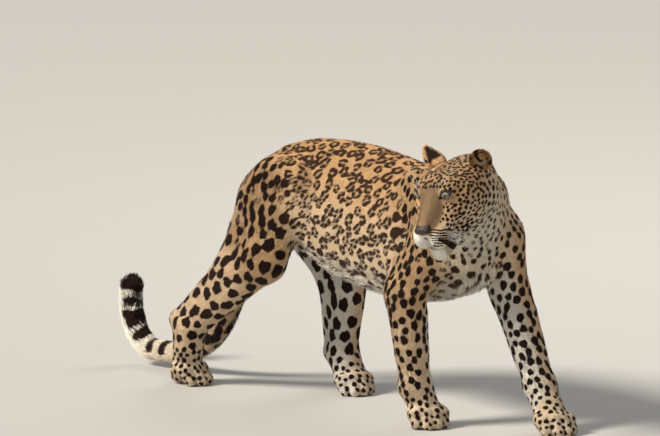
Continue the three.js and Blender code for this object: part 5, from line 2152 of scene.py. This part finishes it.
    def build(self, short: bpy.types.Material, long: bpy.types.Material) -> None:
        """Makes every piece."""
        eye = self.eye_finish()
        dark = Finish("lid", (0.012, 0.009, 0.008), (0.022, 0.016, 0.014), 0.35, 900, 0.0002).build()
        leather = Finish("nose leather", (0.034, 0.018, 0.015), (0.012, 0.007, 0.007), 0.42, 1100, 0.0006).build()
        white = Finish("whisker", (0.80, 0.78, 0.72), (0.74, 0.70, 0.62), 0.4, 600, 0.0001).build()
        for side in Side:
            self.eye(side, eye)
        self.rims(dark)
        self.nose(leather)
        self.whiskers(white)
        for ear in self.ears:
            self.ear(ear, short, long)


@dataclass(frozen=True)
class Studio:
    """The floor, the light and the camera."""

    azimuth: float = 48
    elevation: float = 9.5
    distance: float = 60
    frame_pixels: int = 660
    pixels_per_metre: float = 434
    sensor: float = 36
    aim: tuple[float, float, float] = (-327.2, -68.0, 440.6)  # the middle of the picture, in the walking frame
    floor_radius: float = 40

    def camera(self, place: Place) -> None:
        """Sets the camera at the photo's angle and scale."""
        data = bpy.data.cameras.new("camera")
        data.sensor_width = self.sensor
        data.lens = self.sensor * self.distance * self.pixels_per_metre / self.frame_pixels
        data.clip_end = 500
        camera = bpy.data.objects.new("camera", data)
        bpy.context.scene.collection.objects.link(camera)
        a, e = math.radians(self.azimuth), math.radians(self.elevation)
        back = Vector((math.sin(a) * math.cos(e), -math.cos(a) * math.cos(e), math.sin(e)))
        camera.location = Vector(place.out(np.asarray(self.aim))) + back * self.distance
        camera.rotation_euler = (-back).to_track_quat("-Z", "Y").to_euler()
        bpy.context.scene.camera = camera

    def floor(self) -> None:
        """A wide pale floor."""
        bpy.ops.object.select_all(action="DESELECT")
        bpy.ops.mesh.primitive_circle_add(vertices=96, radius=self.floor_radius, fill_type="NGON")
        floor = bpy.context.active_object
        floor.name = "floor"
        paint = bpy.data.materials.new("pale floor")
        paint.use_nodes = True
        shader = paint.node_tree.nodes["Principled BSDF"]
        shader.inputs["Base Color"].default_value = (0.50, 0.495, 0.475, 1)
        shader.inputs["Roughness"].default_value = 0.9
        floor.data.materials.append(paint)

    def lamp(self, name: str, azimuth: float, elevation: float, size: float, power: float, tint: Triple) -> None:
        """A soft lamp that points at the animal.

        Args:
            name: Its name.
            azimuth: Its direction round the animal, as a camera's.
            elevation: Its height above the floor, in degrees.
            size: Its side in metres.
            power: Its power in watts.
            tint: Its colour.
        """
        data = bpy.data.lights.new(name, "AREA")
        data.size = size
        data.energy = power
        data.color = tint
        lamp = bpy.data.objects.new(name, data)
        bpy.context.scene.collection.objects.link(lamp)
        a, e = math.radians(azimuth), math.radians(elevation)
        back = Vector((math.sin(a) * math.cos(e), -math.cos(a) * math.cos(e), math.sin(e)))
        lamp.location = back * 4.2 + Vector((0, 0, 0.3))
        lamp.rotation_euler = (-back).to_track_quat("-Z", "Y").to_euler()
        lamp.visible_camera = False

    def sun(self) -> None:
        """The key: a warm broad light from far behind the tail, even over the whole floor."""
        data = bpy.data.lights.new("key", "SUN")
        data.energy = 4.6
        data.angle = math.radians(16)
        data.color = (1.0, 0.93, 0.82)
        lamp = bpy.data.objects.new("key", data)
        bpy.context.scene.collection.objects.link(lamp)
        a, e = math.radians(-24), math.radians(42)
        back = Vector((math.sin(a) * math.cos(e), -math.cos(a) * math.cos(e), math.sin(e)))
        lamp.rotation_euler = (-back).to_track_quat("-Z", "Y").to_euler()

    def light(self) -> None:
        """A warm key from behind the tail, a soft fill and a pale room."""
        world = bpy.data.worlds.new("pale room")
        world.use_nodes = True
        sky = world.node_tree.nodes["Background"]
        sky.inputs["Color"].default_value = (0.86, 0.87, 0.88, 1)
        sky.inputs["Strength"].default_value = 0.33
        bpy.context.scene.world = world
        self.sun()
        self.lamp("fill", 80, 34, 2.6, 12, (0.93, 0.96, 1.0))
        self.lamp("rim", 200, 44, 1.8, 40, (1.0, 0.96, 0.9))
        bpy.context.scene.view_settings.view_transform = "Standard"

    def build(self, place: Place) -> None:
        """Makes the whole studio."""
        self.camera(place)
        self.floor()
        self.light()


def main() -> None:
    """Builds the leopard round the frame."""
    logging.basicConfig(level=logging.INFO, format="%(relativeCreated)d %(message)s")
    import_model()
    animal = Animal()
    place = Place.found(animal)
    Studio().build(place)
    body = Body(animal)
    skin = Skin(animal, place, body)
    obj = skin.build()
    LOG.info("skin: %d faces", len(obj.data.polygons))
    skin.unwrap()
    LOG.info("unwrapped")
    markings = Markings(animal, body)
    p = place.into(corners(obj.data))
    markings.scatter(p, skin.normal, skin.lie, skin.shares)
    LOG.info("marks: %d", len(markings.marks))
    # middle carries rosette middles, darker fur and painted shade on the face and in the folds.
    mark, middle = markings.at(p, skin.normal)
    keep(obj.data, "marking", np.stack([mark, middle, faded(skin.shares)], axis=1))
    pale = body.paleness(p, skin.normal, skin.shares)
    keep(obj.data, "strand", np.stack([pale, np.full(len(p), 0.5), np.full(len(p), 0.3)], axis=1))
    short = CoatPaint().build("short coat", True)
    long = CoatPaint().build("coat", False)
    obj.data.materials.append(short)
    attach(obj, BODY)
    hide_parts(*FLESH)
    LOG.info("skin marked")
    coat = Coat(skin, markings)
    HeadPieces(animal, place, coat).build(short, long)
    LOG.info("head done")
    for piece in coat.build():
        piece.data.materials.append(long)
        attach(piece, BODY)
    LOG.info("coat done")


if __name__ == "__main__":
    main()
